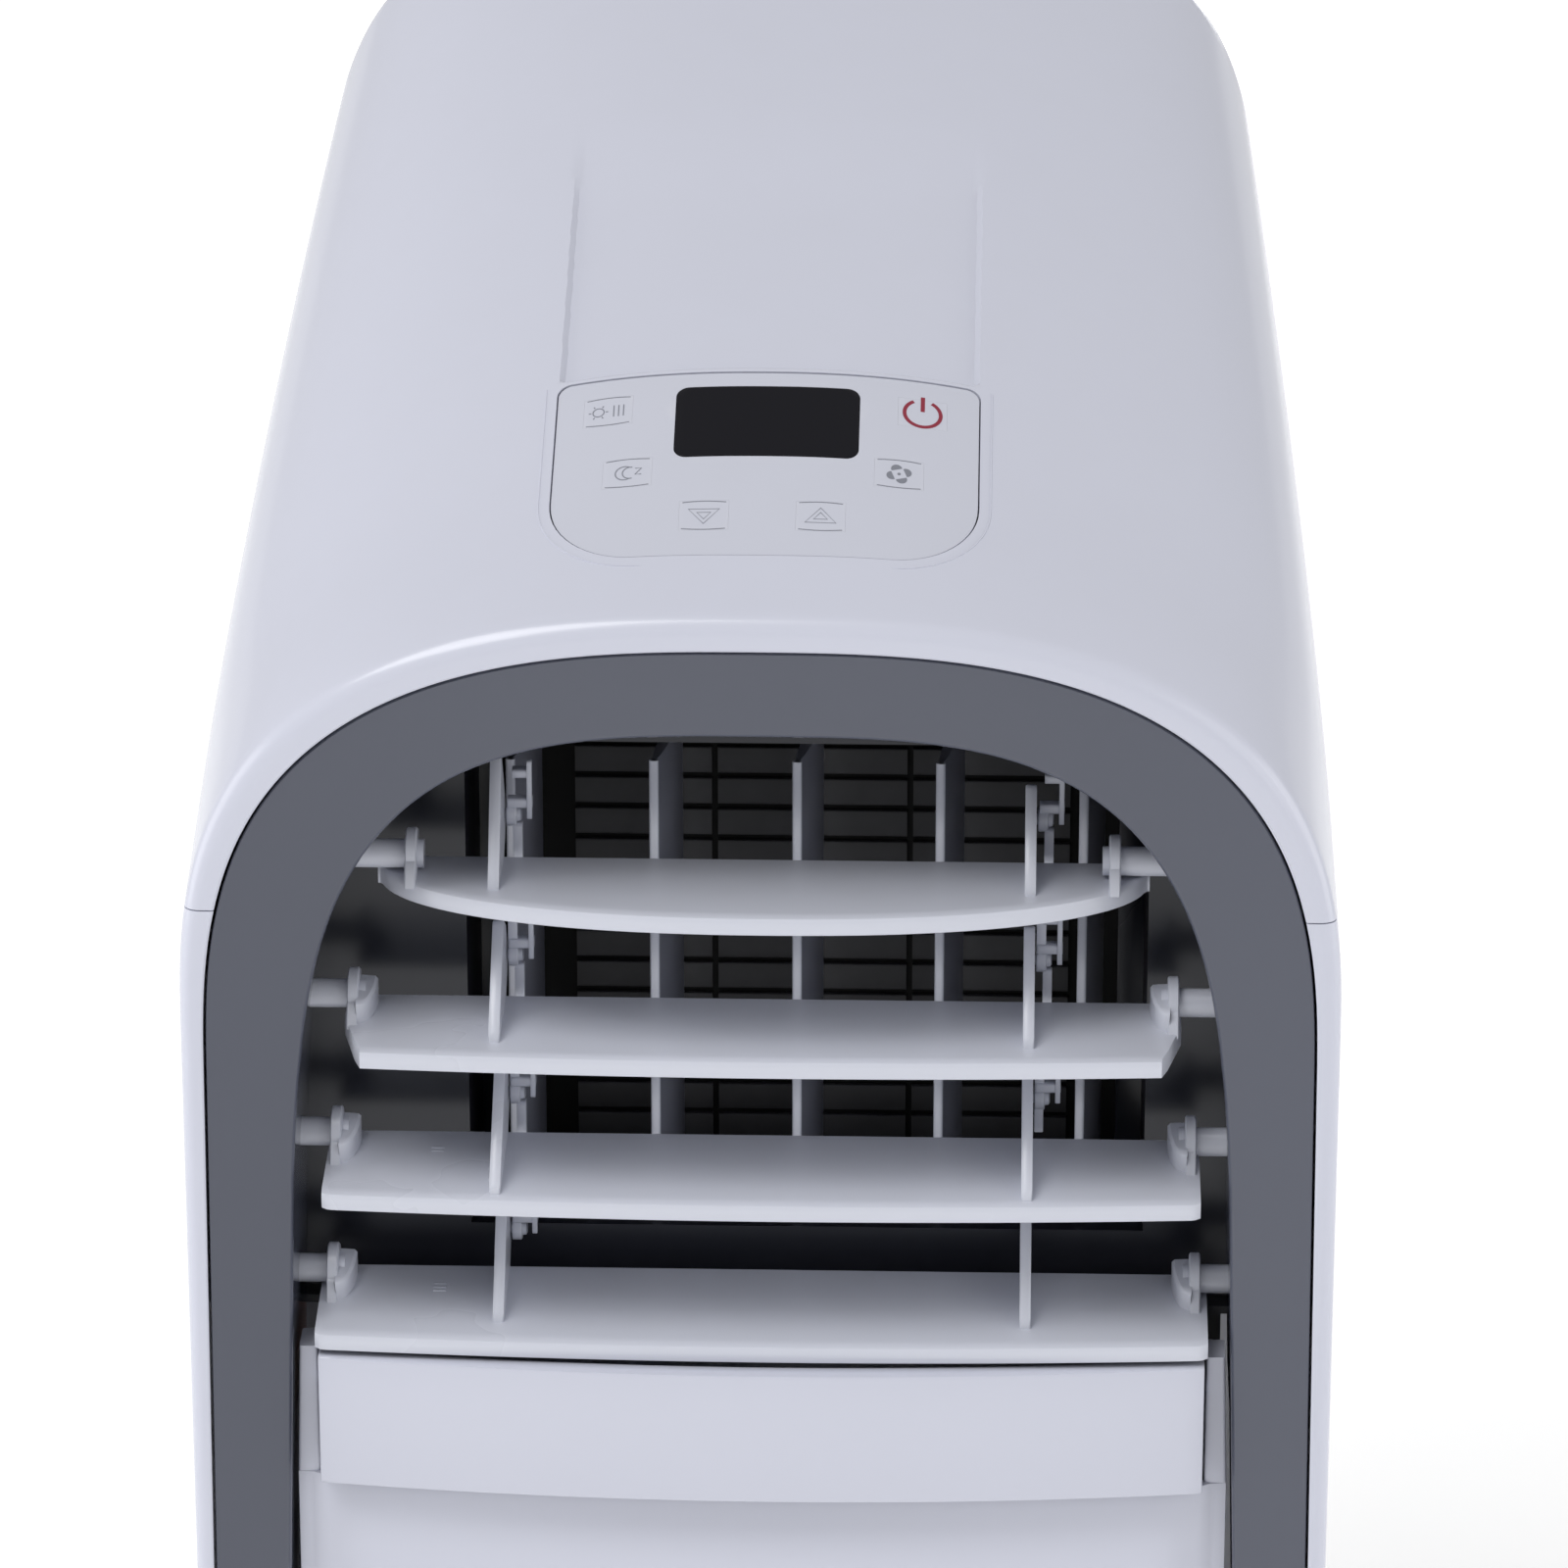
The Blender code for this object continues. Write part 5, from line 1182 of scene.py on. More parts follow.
@dataclass
class Louvre(Assembly):
    """One horizontal louvre with its lip, ears, pins, fins and clips.

    Attributes:
        index: 0 for the uppermost.
        tilt: rest angle in degrees, front edge down.
        end_gap: plate end to the mouth's wall.
        ear_inset: plate end to the ear's outer face.
        fin_front: pivot to the front foot of the fins.
        corner: how far the front corners are cut back.
        chamfer: share of the half length where that cut starts.
        front: pivot to the front edge.
        rear: pivot to the rear edge.
        thick: thickness of the plate.
        drop: plate below the pivot.
        lip: height of the front lip.
        lip_depth: its depth.
        bow: how far the front edge's ends stand back.
        fin_x: place of the fins across.
        fin_thick: their thickness.
        link_back: link pin behind the pivot.
        link_up: link pin above the pivot.
    """

    index: int
    tilt: float
    end_gap: float
    ear_inset: float
    fin_front: float
    corner: float
    chamfer: float
    front: float = 0.0325
    rear: float = 0.0105
    thick: float = 0.0022
    drop: float = 0.005
    lip: float = 0.0058
    lip_depth: float = 0.0035
    bow: float = 0.004
    fin_x: float = 0.0765
    fin_thick: float = 0.0032
    link_back: float = 0.0165
    link_up: float = 0.006

    @property
    def crest(self) -> float:
        """How much higher the first louvre's left fin stands."""
        return 0.0072 if self.index == 0 else 0.0

    @property
    def name(self) -> str:
        """Name of its node and body."""
        return f"louvre_{self.index + 1}"

    @property
    def pivot(self) -> Vector:
        """Middle of its pivot axis."""
        return Vector((0.0, SHAPE.front + 0.037, 0.5302 - 0.0438 * self.index))

    @property
    def half(self) -> float:
        """Half length of its plate."""
        return SHAPE.mouth().half_at(self.pivot.z) - self.end_gap

    def at(self, x: float, ahead: float, up: float) -> Vector:
        """A point given ahead of and above the pivot, on the tilted plate."""
        turn = math.radians(self.tilt)
        y = -ahead * math.cos(turn) - up * math.sin(turn)
        z = -ahead * math.sin(turn) + up * math.cos(turn)
        return Vector((x, self.pivot.y + y, self.pivot.z + z))

    def front_line(self, count: int = 61) -> list[tuple[float, float]]:
        """(x, distance ahead of the pivot) along the front edge."""
        line = []
        for i in range(count):
            s = math.sin(math.pi * (i / (count - 1) - 0.5))
            if self.index == 0:
                reach = (self.front + self.rear) * max(1 - abs(s) ** 2.25, 0.0) ** (1 / 2.25)
                ahead = max(reach - self.rear, -self.rear * 0.25)
            else:
                past = max(abs(s) - self.chamfer, 0.0) / (1 - self.chamfer)
                ahead = self.front - self.bow * s * s - self.corner * past
            line.append((s * self.half, ahead))
        return line

    def plate(self) -> Solid:
        """The plate with its rounded front lip."""
        top = -self.drop
        rings = []
        for x, ahead in self.front_line():
            narrow = min(self.lip_depth, (ahead + self.rear) * 0.3)
            thick, lip, back = self.thick, self.lip, -self.rear
            tail = [(0.0, thick - 0.0006), (-0.0004, thick / 2), (0.0, 0.0005), (0.0006, 0.0)]
            nose = [(-narrow - 0.0004, 0.0), (-narrow * 0.45, 0.0001), (-0.0005, 0.0006), (0.0, 0.0016)]
            nose += [(0.0001, lip * 0.6), (-0.0002, lip - 0.0004), (-0.0008, lip), (-0.0014, lip - 0.0004)]
            nose += [(-0.0018, thick + 0.0014), (-max(narrow, 0.0030), thick)]
            profile = [(back + a, down) for a, down in tail] + [(ahead + a, down) for a, down in nose]
            profile.append((back + 0.0006, thick))
            rings.append([self.at(x, a, top - down) for a, down in profile])
        return Solid(f"{self.name}_blade").rings(rings)

    def ears(self, solid: Solid) -> None:
        """Adds the end ears, their inner gussets and the pivot pins."""
        foot = -self.drop - self.thick / 2
        middle = self.half - self.ear_inset - 0.00165
        wall = SHAPE.mouth().half_at(self.pivot.z)
        for side in (-1, 1):
            arc = circle(0.0, 0.0, 0.0076, 72)[1:37]
            outline = [(0.0120, foot), (0.0086, 0.0), *arc, (-0.0084, foot)]
            small = [(a * 0.93, u * 0.93 if u > 0 else u) for a, u in outline]
            span = [side * (middle + d) for d in (-0.00165, -0.00125, 0.00125, 0.00165)]
            loops = (small, outline, outline, small)
            solid.rings([[self.at(x, a, u) for a, u in loop] for x, loop in zip(span, loops)])
            pin = [(0.0042, middle - 0.0035), (0.0042, wall + 0.0014), (0.0036, wall + 0.0020)]
            solid.turned([(radius, side * along) for radius, along in pin], self.pivot, "x", 28)
            if self.index == 0:
                continue
            gusset = []
            for i in range(9):
                t = i / 8
                inward = 0.0016 + 0.0050 * math.sqrt(max(1 - t * t, 0.0))
                x0, x1 = side * (middle - 0.001), side * (middle - inward)
                ahead = -0.0050 + 0.0150 * t
                high = 0.0036 * math.cos(t * 1.1) * (1 - 0.25 * t)
                section = [(x0, foot), (x1, foot), (x1, high - 0.0012)]
                section += [(x1 + side * 0.0008, high - 0.0003), (x0, high)]
                gusset.append([self.at(x, ahead, up) for x, up in section])
            solid.rings(gusset)

    def fins(self, solid: Solid) -> None:
        """Adds the two tall fins with the clip pins of the link bars."""
        foot = -self.drop - self.thick / 2
        turn = math.radians(self.tilt)
        back = -(self.link_back * math.cos(turn) + self.link_up * math.sin(turn))
        up = self.link_up * math.cos(turn) - self.link_back * math.sin(turn)
        shape = [(self.fin_front, foot), (self.fin_front + 0.0001, -self.drop + 0.0010),
                   (self.fin_front - 0.0010, -self.drop + 0.0030), (-0.0035, 0.0202), (-0.0050, 0.0210),
                   (-0.0070, 0.0205), (back + 0.0022, up + 0.0104), (back - 0.0022, up + 0.0042),
                   (back - 0.0034, up + 0.0018), (back - 0.0034, up - 0.0030), (-self.rear * 0.9, foot)]
        middle = (back * 0.5 + self.fin_front * 0.2, 0.004)
        for side in (-1, 1):
            more = self.crest if side < 0 else 0.0
            outline = [(a, u + more if u > 0.018 else u) for a, u in shape]
            small = [(a + (middle[0] - a) * 0.02, u + (middle[1] - u) * 0.02) for a, u in outline]
            x, half, edge = side * self.fin_x, self.fin_thick / 2, 0.0004
            loops = ((-half, small), (edge - half, outline), (half - edge, outline), (half, small))
            solid.rings([[self.at(x + across, a, u) for a, u in loop] for across, loop in loops])
            if side < 0 or self.index < 3:
                y, z = self.pivot.y + self.link_back, self.pivot.z + self.link_up
                start = x + half - 0.001
                pin = [(0.0016, 0.0), (0.0016, 0.0042), (0.0023, 0.0042), (0.0021, 0.0056), (0.0014, 0.0060)]
                solid.turned(pin, (start, y, z), "x", 18)

    def build(self) -> None:
        """Builds the louvre and its moulding marks."""
        solid = self.plate()
        self.ears(solid)
        self.fins(solid)
        solid.mount(self.name, Look.LOUVRE, self.name, angle=38)
        if self.index >= 2:
            base = self.at(-0.0965, -0.0005, -self.drop)
            mark = Solid(f"{self.name}_moulding_marks")
            mark.box(base + Vector((0.0, -0.0009, -0.0003)), base + Vector((0.0036, 0.0, 0.0002)))
            mark.mount(self.name, Look.LOUVRE, copies=(self.index, (0, -0.0020, -0.00018)))


LOUVRES = (
    Louvre(0, 0.5, 0.0070, 0.0085, 0.0145, 0.0, 0.99),
    Louvre(1, 1.5, 0.0100, 0.0007, 0.0220, 0.022, 0.956),
    Louvre(2, 4.0, 0.0078, 0.0010, 0.0280, 0.0012, 0.985),
    Louvre(3, 6.5, 0.0062, 0.0020, 0.0210, 0.0012, 0.985),
)


@dataclass
class LouvreLink(Assembly):
    """The upright bar with its snap eyes that turns the louvres together.

    Attributes:
        side: -1 for the left bar, 1 for the right.
        count: number of eyes.
        thick: thickness of the bar.
    """

    side: int
    count: int
    thick: float = 0.0026

    @property
    def finger(self) -> float:
        """Height of the thin outer fingers above their eyes."""
        return 0.0175 if self.side < 0 else 0.0145

    def build(self) -> None:
        """Builds the bar: straight webs, round eyes and, at each eye, a snap finger."""
        name = f"louvre_link_{'left' if self.side < 0 else 'right'}"
        first = LOUVRES[0]
        y = first.pivot.y + first.link_back
        x0 = self.side * first.fin_x + 0.0021
        solid = Solid(f"{name}_bar")
        eyes = [louvre.pivot.z + louvre.link_up for louvre in LOUVRES[: self.count]]
        near, far = (x0, x0 + 0.0028), (x0 + 0.0019, x0 + 0.0046)
        for high, low in zip(eyes, eyes[1:]):
            lower = rounded(y - 0.0022, low - 0.0035, y + 0.0024, low + 0.0175, 0.0014, 3)
            upper = rounded(y - 0.0026, low + 0.0150, y + 0.0016, high - 0.0025, 0.0012, 3)
            solid.prism(lower, "x", *near)
            solid.prism(upper, "x", *far)
        for z in eyes:
            hoop = [(0.0019, 0.0), (0.0033, 0.0), (0.0036, 0.0003), (0.0036, self.thick + 0.0001),
                    (0.0032, self.thick + 0.0004), (0.0019, self.thick + 0.0004)]
            solid.turned(hoop, (x0, y, z), "x", 24, hoop=True)
            clip = rounded(y - 0.0030, z + 0.0026, y + 0.0012, z + 0.0056, 0.0008, 3)
            solid.prism(clip, "x", x0 + 0.0004, x0 + 0.0076)
            second = rounded(y - 0.0034, z - 0.0006, y - 0.0010, z + self.finger, 0.0008, 3)
            solid.prism(second, "x", x0 + 0.0060, x0 + 0.0075)
            hook = rounded(y - 0.0032, z + 0.0120, y + 0.0010, z + 0.0146, 0.0008, 3)
            solid.prism(hook, "x", x0 + 0.0018, x0 + 0.0066)
        if self.side > 0:
            end = eyes[-1]
            tail = rounded(y - 0.0022, end - 0.0105, y + 0.0022, end - 0.0022, 0.0012, 4)
            solid.prism(tail, "x", x0, x0 + self.thick)
        solid.mount(name, Look.LOUVRE, name, rounding=(0.0003,))


@dataclass
class Vane(Assembly):
    """One upright vane with its pins.

    Attributes:
        index: 0 for the leftmost.
        pitch: distance between vanes.
        offset: the middle vane's place across.
        chord: front to rear.
        angle: rest turn in degrees.
        bottom: floor of the duct.
        duct_height: floor to roof.
    """

    index: int
    pitch: float = 0.0415
    offset: float = 0.012
    chord: float = 0.040
    angle: float = 9.0
    bottom: float = 0.403
    duct_height: float = 0.153

    @property
    def axis(self) -> Vector:
        """Foot of its pivot axis."""
        return Vector((self.offset + (self.index - 2) * self.pitch, SHAPE.front + 0.086, self.bottom))

    def at(self, across: float, back: float, z: float) -> tuple[float, float, float]:
        """A point across and behind the axis, on the turned vane."""
        turn = math.radians(self.angle)
        x = across * math.cos(turn) + back * math.sin(turn)
        y = -across * math.sin(turn) + back * math.cos(turn)
        return (self.axis.x + x, self.axis.y + y, z)

    def build(self) -> None:
        """Builds the vane: an aerofoil plate in the painted-shade grey, a thicker white front bead, pins and
        a link pin.
        """
        name = f"vane_{self.index + 1}"
        half = []
        for i in range(15):
            t = i / 14
            back = -self.chord / 2 + self.chord * t
            bead = 0.0014 * math.sqrt(max(1 - ((t - 0.035) / 0.035) ** 2, 0.0)) if t < 0.07 else 0.0
            body = 0.0006 + 0.0011 * math.sin(math.pi * min(t * 1.1, 1.0)) ** 0.8
            half.append((max(bead, body if t > 0 else 0.0004), back))
        outline = half + [(-a, b) for a, b in reversed(half)]
        low, high = self.bottom + 0.002, self.bottom + self.duct_height - 0.008
        solid = Solid(f"{name}_blade").rings([[self.at(a, b, z) for a, b in outline] for z in (low, high)])
        ends = ((high - 0.001, self.bottom + self.duct_height + 0.0020), (self.bottom - 0.0020, low + 0.001))
        axis = self.axis
        for start, end in ends:
            solid.prism(circle(axis.x, axis.y, 0.0022, 18), "z", start, end)
            collar = start if start > self.bottom + 0.01 else end - 0.0012
            solid.prism(circle(axis.x, axis.y, 0.0036, 18), "z", collar, collar + 0.0014)
        x, y, _ = self.at(0.0, 0.014, 0.0)
        solid.prism(circle(x, y, 0.0014, 14), "z", high - 0.001, high + 0.006)
        # The blade takes the painted-shade grey; the white bead is the vane's own white on its lit front
        # edge.
        solid.mount(name, Look.VANE_PAINTED_SHADE, name, angle=45)
        front = -self.chord / 2
        edge = rounded(-0.0014, front - 0.0005, 0.0014, front + 0.0014, 0.0009, 4)
        bead = Solid(f"{name}_front_bead").rings([[self.at(a, b, z) for a, b in edge] for z in (low, high)])
        bead.mount(name, Look.LOUVRE)


@dataclass
class OutletDuct(Assembly):
    """The dark duct behind the tunnel, the vane link in it and the slotted guard behind the vanes.

    Attributes:
        slat_pitch: one slat and one gap of the guard.
        slat_gap: the gap.
        spans: left and right end of each row of slats, between the guard's upright gaps.
    """

    slat_pitch: float = 0.0099
    slat_gap: float = 0.0017
    spans: tuple[tuple[float, float], ...] = ((-0.0585, -0.0179), (-0.0161, 0.0401), (0.0419, 0.0885))

    def build(self) -> None:
        """Dresses the duct and builds the guard, with a near-black painted-shade sheet behind its slats."""
        dress("outlet_duct", Look.DUCT)
        dress("vane_link", Look.LOUVRE)
        low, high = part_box("outlet_guard")
        # Painted shade: a near-black sheet behind the slats, seen through the guard's gaps.
        back = Solid("guard_shade_backing").box((low.x, high.y - 0.0006, low.z), high)
        back.mount(CABINET, Look.GAP_SHADE, "outlet_guard", rounding=(0.0002,))
        rows = int((high.z - low.z - 0.004) / self.slat_pitch)
        foot, slat_high = low.z + 0.003, self.slat_pitch - self.slat_gap
        profile = rounded(low.y, foot, high.y - 0.0005, foot + slat_high, 0.0005, 3)
        for number, span in enumerate(self.spans, 1):
            slat = Solid(f"guard_slats_{number}").prism(profile, "x", *span)
            slat.mount(CABINET, Look.GUARD, copies=(rows, (0, 0, self.slat_pitch)))
        edge = Solid("guard_frame")
        edge.box((low.x, low.y, low.z), (high.x, high.y - 0.0008, low.z + 0.0026))
        edge.box((low.x, low.y, high.z - 0.0026), (high.x, high.y - 0.0008, high.z))
        edge.box((high.x - 0.0100, low.y, low.z), (high.x, high.y - 0.0008, high.z))
        edge.box((low.x, low.y, low.z), (low.x + 0.0085, high.y - 0.0008, high.z))
        edge.mount(CABINET, Look.DUCT, rounding=(0.0003,))


@dataclass
class FrontCovers(Assembly):
    """The proud white band under the louvres and the removable lower panel.

    Attributes:
        band_top: upper edge of the band.
        band_height: its height.
        bulge: how far its ends stand back from its middle.
        panel_back: lower panel's set back.
        panel_bulge: how far its ends stand back from its middle.
    """

    band_top: float = 0.3832
    band_height: float = 0.041
    bulge: float = 0.009
    panel_back: float = 0.011
    panel_bulge: float = 0.006

    def build(self) -> None:
        """Builds both covers."""
        self.band()
        self.panel()

    def band(self) -> None:
        """The band: a bowed face with rounded edges and the shelf behind it."""
        half = SHAPE.mouth().half_at(self.band_top) - 0.0075
        low, high = self.band_top - self.band_height, self.band_top
        shelf = SHAPE.front + 0.060 - SHAPE.gap
        top, under = high - 0.0085, high - 0.0115
        rings = []
        for i in range(49):
            s = 2 * i / 48 - 1
            face = SHAPE.front + SHAPE.gap + self.bulge * s * s
            skin = [(0.0030, low), (0.0009, low), (0.0003, low + 0.0003), (0.0, low + 0.0010)]
            skin += [(0.0, high - 0.0012), (0.0003, high - 0.0004), (0.0011, high), (0.0060, high)]
            skin.append((0.0070, top))
            section = [(face + back, z) for back, z in skin]
            section += [(shelf, top), (shelf, under), (face + 0.0030, under)]
            rings.append([(s * half, y, z) for y, z in section])
        band = Solid("front_band_skin").rings(rings)
        band.mount(CABINET, Look.WHITE, "front_band", angle=40, rounding=(0.0004, 2, 60))

    def panel(self) -> None:
        """The lower panel: a shallow barrel whose long edges roll back."""
        top, foot = self.band_top - self.band_height - SHAPE.gap, SHAPE.foot
        half = SHAPE.mouth().half_at(top) - 0.0014
        heights = [foot + (top - foot) * i / 44 for i in range(45)]
        columns = [math.sin(math.pi / 2 * (2 * i / 60 - 1)) for i in range(61)]

        def face(s: float, z: float) -> float:
            """Y of the panel's face at a share of its half width."""
            strip = smooth_step(0.955, 0.965, abs(s)) * 0.0012
            low_roll = 0.004 * smooth_step(foot + 0.012, foot, z)
            crest = 0.0010 * math.exp(-(((z - (top - 0.028)) / 0.012) ** 2)) * (1 - s * s)
            proud = 0.0022 * (1 - smooth_step(0.86, 0.95, abs(s))) * smooth_step(0.002, 0.022, top - z)
            return SHAPE.front + self.panel_back + self.panel_bulge * s * s + strip + low_roll - crest - proud

        panel = Solid("front_panel_skin").plate(
            [[(s * half, face(s, z) + back, z) for s in columns] for z in heights] for back in (0.0, 0.0035)
        )
        panel.mount(CABINET, Look.WHITE, "front_panel", angle=40, rounding=(0.0006, 3, 60))
        posts = Solid("front_panel_posts")
        inner = SHAPE.mouth().half_at(self.band_top) - 0.0075 + 0.0008
        back = SHAPE.front + self.panel_back + self.panel_bulge + 0.0012
        for side in (-1, 1):
            rings = []
            for z in (top - 0.0006, top + 0.012, top + 0.026, self.band_top - 0.0008):
                outer = SHAPE.mouth().half_at(z) - 0.0014
                xs = sorted((side * inner, side * outer))
                rings.append([(x, y, z) for x, y in rounded(xs[0], back, xs[1], back + 0.012, 0.0008, 3)])
            posts.rings(rings)
        posts.mount(CABINET, Look.WHITE)


# --- Control panel ---------------------------------------------------------------------------------
class Symbol(Enum):
    """What is printed on a key."""

    MODE = "mode"
    SLEEP = "sleep"
    DOWN = "down"
    UP = "up"
    FAN = "fan"
    POWER = "power"


@dataclass(frozen=True)
class Key:
    """One touch key.

    Attributes:
        node: its node and body.
        symbol: what is printed on it.
        x: its middle.
        back: its middle, behind the rim.
    """

    node: str
    symbol: Symbol
    x: float
    back: float


@dataclass
class KeyFilm(Assembly):
    """The pale key film with its smoked display, six keys and their printed symbols.

    Attributes:
        front: its front edge behind the rim.
        length: front to rear.
        half: half width.
        corner: radius of the front corners.
        sink: depth of its face below the cover.
        thick: its underside below the cover.
        outline_gap: film to the raised line round it.
        keys: the six keys.
    """

    front: float = 0.026
    length: float = 0.071
    half: float = 0.0605
    corner: float = 0.024
    sink: float = 0.0003
    thick: float = 0.003
    outline_gap: float = 0.0036
    keys: tuple[Key, ...] = (
        Key("button_mode", Symbol.MODE, -0.0458, 0.0845),
        Key("button_sleep", Symbol.SLEEP, -0.0392, 0.0590),
        Key("button_down", Symbol.DOWN, -0.0168, 0.0410),
        Key("button_up", Symbol.UP, 0.0162, 0.0410),
        Key("button_fan", Symbol.FAN, 0.0380, 0.0595),
        Key("button_power", Symbol.POWER, 0.0443, 0.0845),
    )

    @staticmethod
    def rows(
        half: float, front: float, length: float, radius: float, rear_radius: float, steps: int = 14
    ) -> list[tuple[float, float, float]]:
        """Rows of a patch with rounded corners, front to rear."""
        rows = []
        for i in range(steps + 1):
            a = math.pi / 2 * i / steps
            rows.append((front + radius * (1 - math.cos(a)), half - radius + radius * math.sin(a)))
        for i in range(1, 9):
            rows.append((front + radius + (length - radius - rear_radius) * i / 9, half))
        for i in range(steps + 1):
            a = math.pi / 2 * i / steps
            back = front + length - rear_radius + rear_radius * math.sin(a)
            rows.append((back, half - rear_radius + rear_radius * math.cos(a)))
        return [(SHAPE.front + y, -w, w) for y, w in rows]

    @classmethod
    def outline_solid(cls, grow: float, low: float, high: float) -> Solid:
        """The solid that opens the top cover for the film."""
        rows = cls.rows(cls.half + grow, cls.front - grow, cls.length + 2 * grow, cls.corner + grow, 0.004)
        return Solid("film_outline").patch(rows, low, high, 40)

    def display_solid(self, grow: float, low: float, high: float) -> Solid:
        """The display window's solid, or the hole for it."""
        rear = self.front + self.length - 0.0055
        length, corner = 0.0275, 0.0035 + grow
        rows = self.rows(0.0262 + grow, rear - length - grow, length + 2 * grow, corner, corner, 8)
        return Solid("display_window_glass").patch(rows, low, high, 20)

    def build(self) -> None:
        """Builds the film, the display, the keys and the symbols."""
        finish = Look.FILM.value
        rows = self.rows(self.half, self.front, self.length, self.corner, 0.004)
        film = Solid("key_film").patch(rows, -self.thick, -self.sink, 60).object(finish)
        cut(film, self.display_solid(0.0002, -0.01, 0.01))
        for key in self.keys:
            cut(film, self.key_solid("hole", key, 0.00003, -0.01, 0.01))
        place(film, CABINET, finish, "control_panel")
        glass = self.display_solid(0.0, -self.thick, -self.sink + 0.0001)
        glass.mount(CABINET, Look.GLASS, "display_window", rounding=(0.0003, 2, 50))
        dress("control_board", Look.BOARD)
        self.rim_line()
        for key in self.keys:
            face = self.key_solid(f"{key.node}_face", key, 0.0, -self.thick - 0.0006, -self.sink)
            face.mount(key.node, Look.FILM, key.node)
            SymbolPrint(key, -self.sink).build()

    def rim_line(self) -> None:
        """A fine raised line round the film, open towards the channel."""
        out, wide = self.outline_gap, 0.0005
        rows = self.rows(self.half + out, self.front - out, self.length + out, self.corner + out, 0.0)
        path = [(x, y) for y, x, _ in reversed(rows)] + [(x, y) for y, _, x in rows[1:]]
        loops = []
        for i, (x, y) in enumerate(path):
            before, after = path[max(i - 1, 0)], path[min(i + 1, len(path) - 1)]
            along = Vector((after[0] - before[0], after[1] - before[1])).normalized()
            side = Vector((-along.y, along.x)) * wide / 2
            corners = ((-1, -0.0002), (-0.6, 0.00022), (0.6, 0.00022), (1, -0.0002))
            loops.append([SHAPE.skin_point(x + side.x * k, y + side.y * k, lift) for k, lift in corners])
        Solid("key_film_rim_line").rings(loops).mount(CABINET, Look.WHITE)

    @staticmethod
    def key_solid(name: str, key: Key, grow: float, low: float, high: float) -> Solid:
        """One key's plate, or the hole for it."""
        half, length = 0.0070 + grow, 0.0110 + 2 * grow
        start = SHAPE.front + key.back - length / 2
        rows = [(start + length * i / 6, key.x - half, key.x + half) for i in range(7)]
        return Solid(name).patch(rows, low, high, 8)


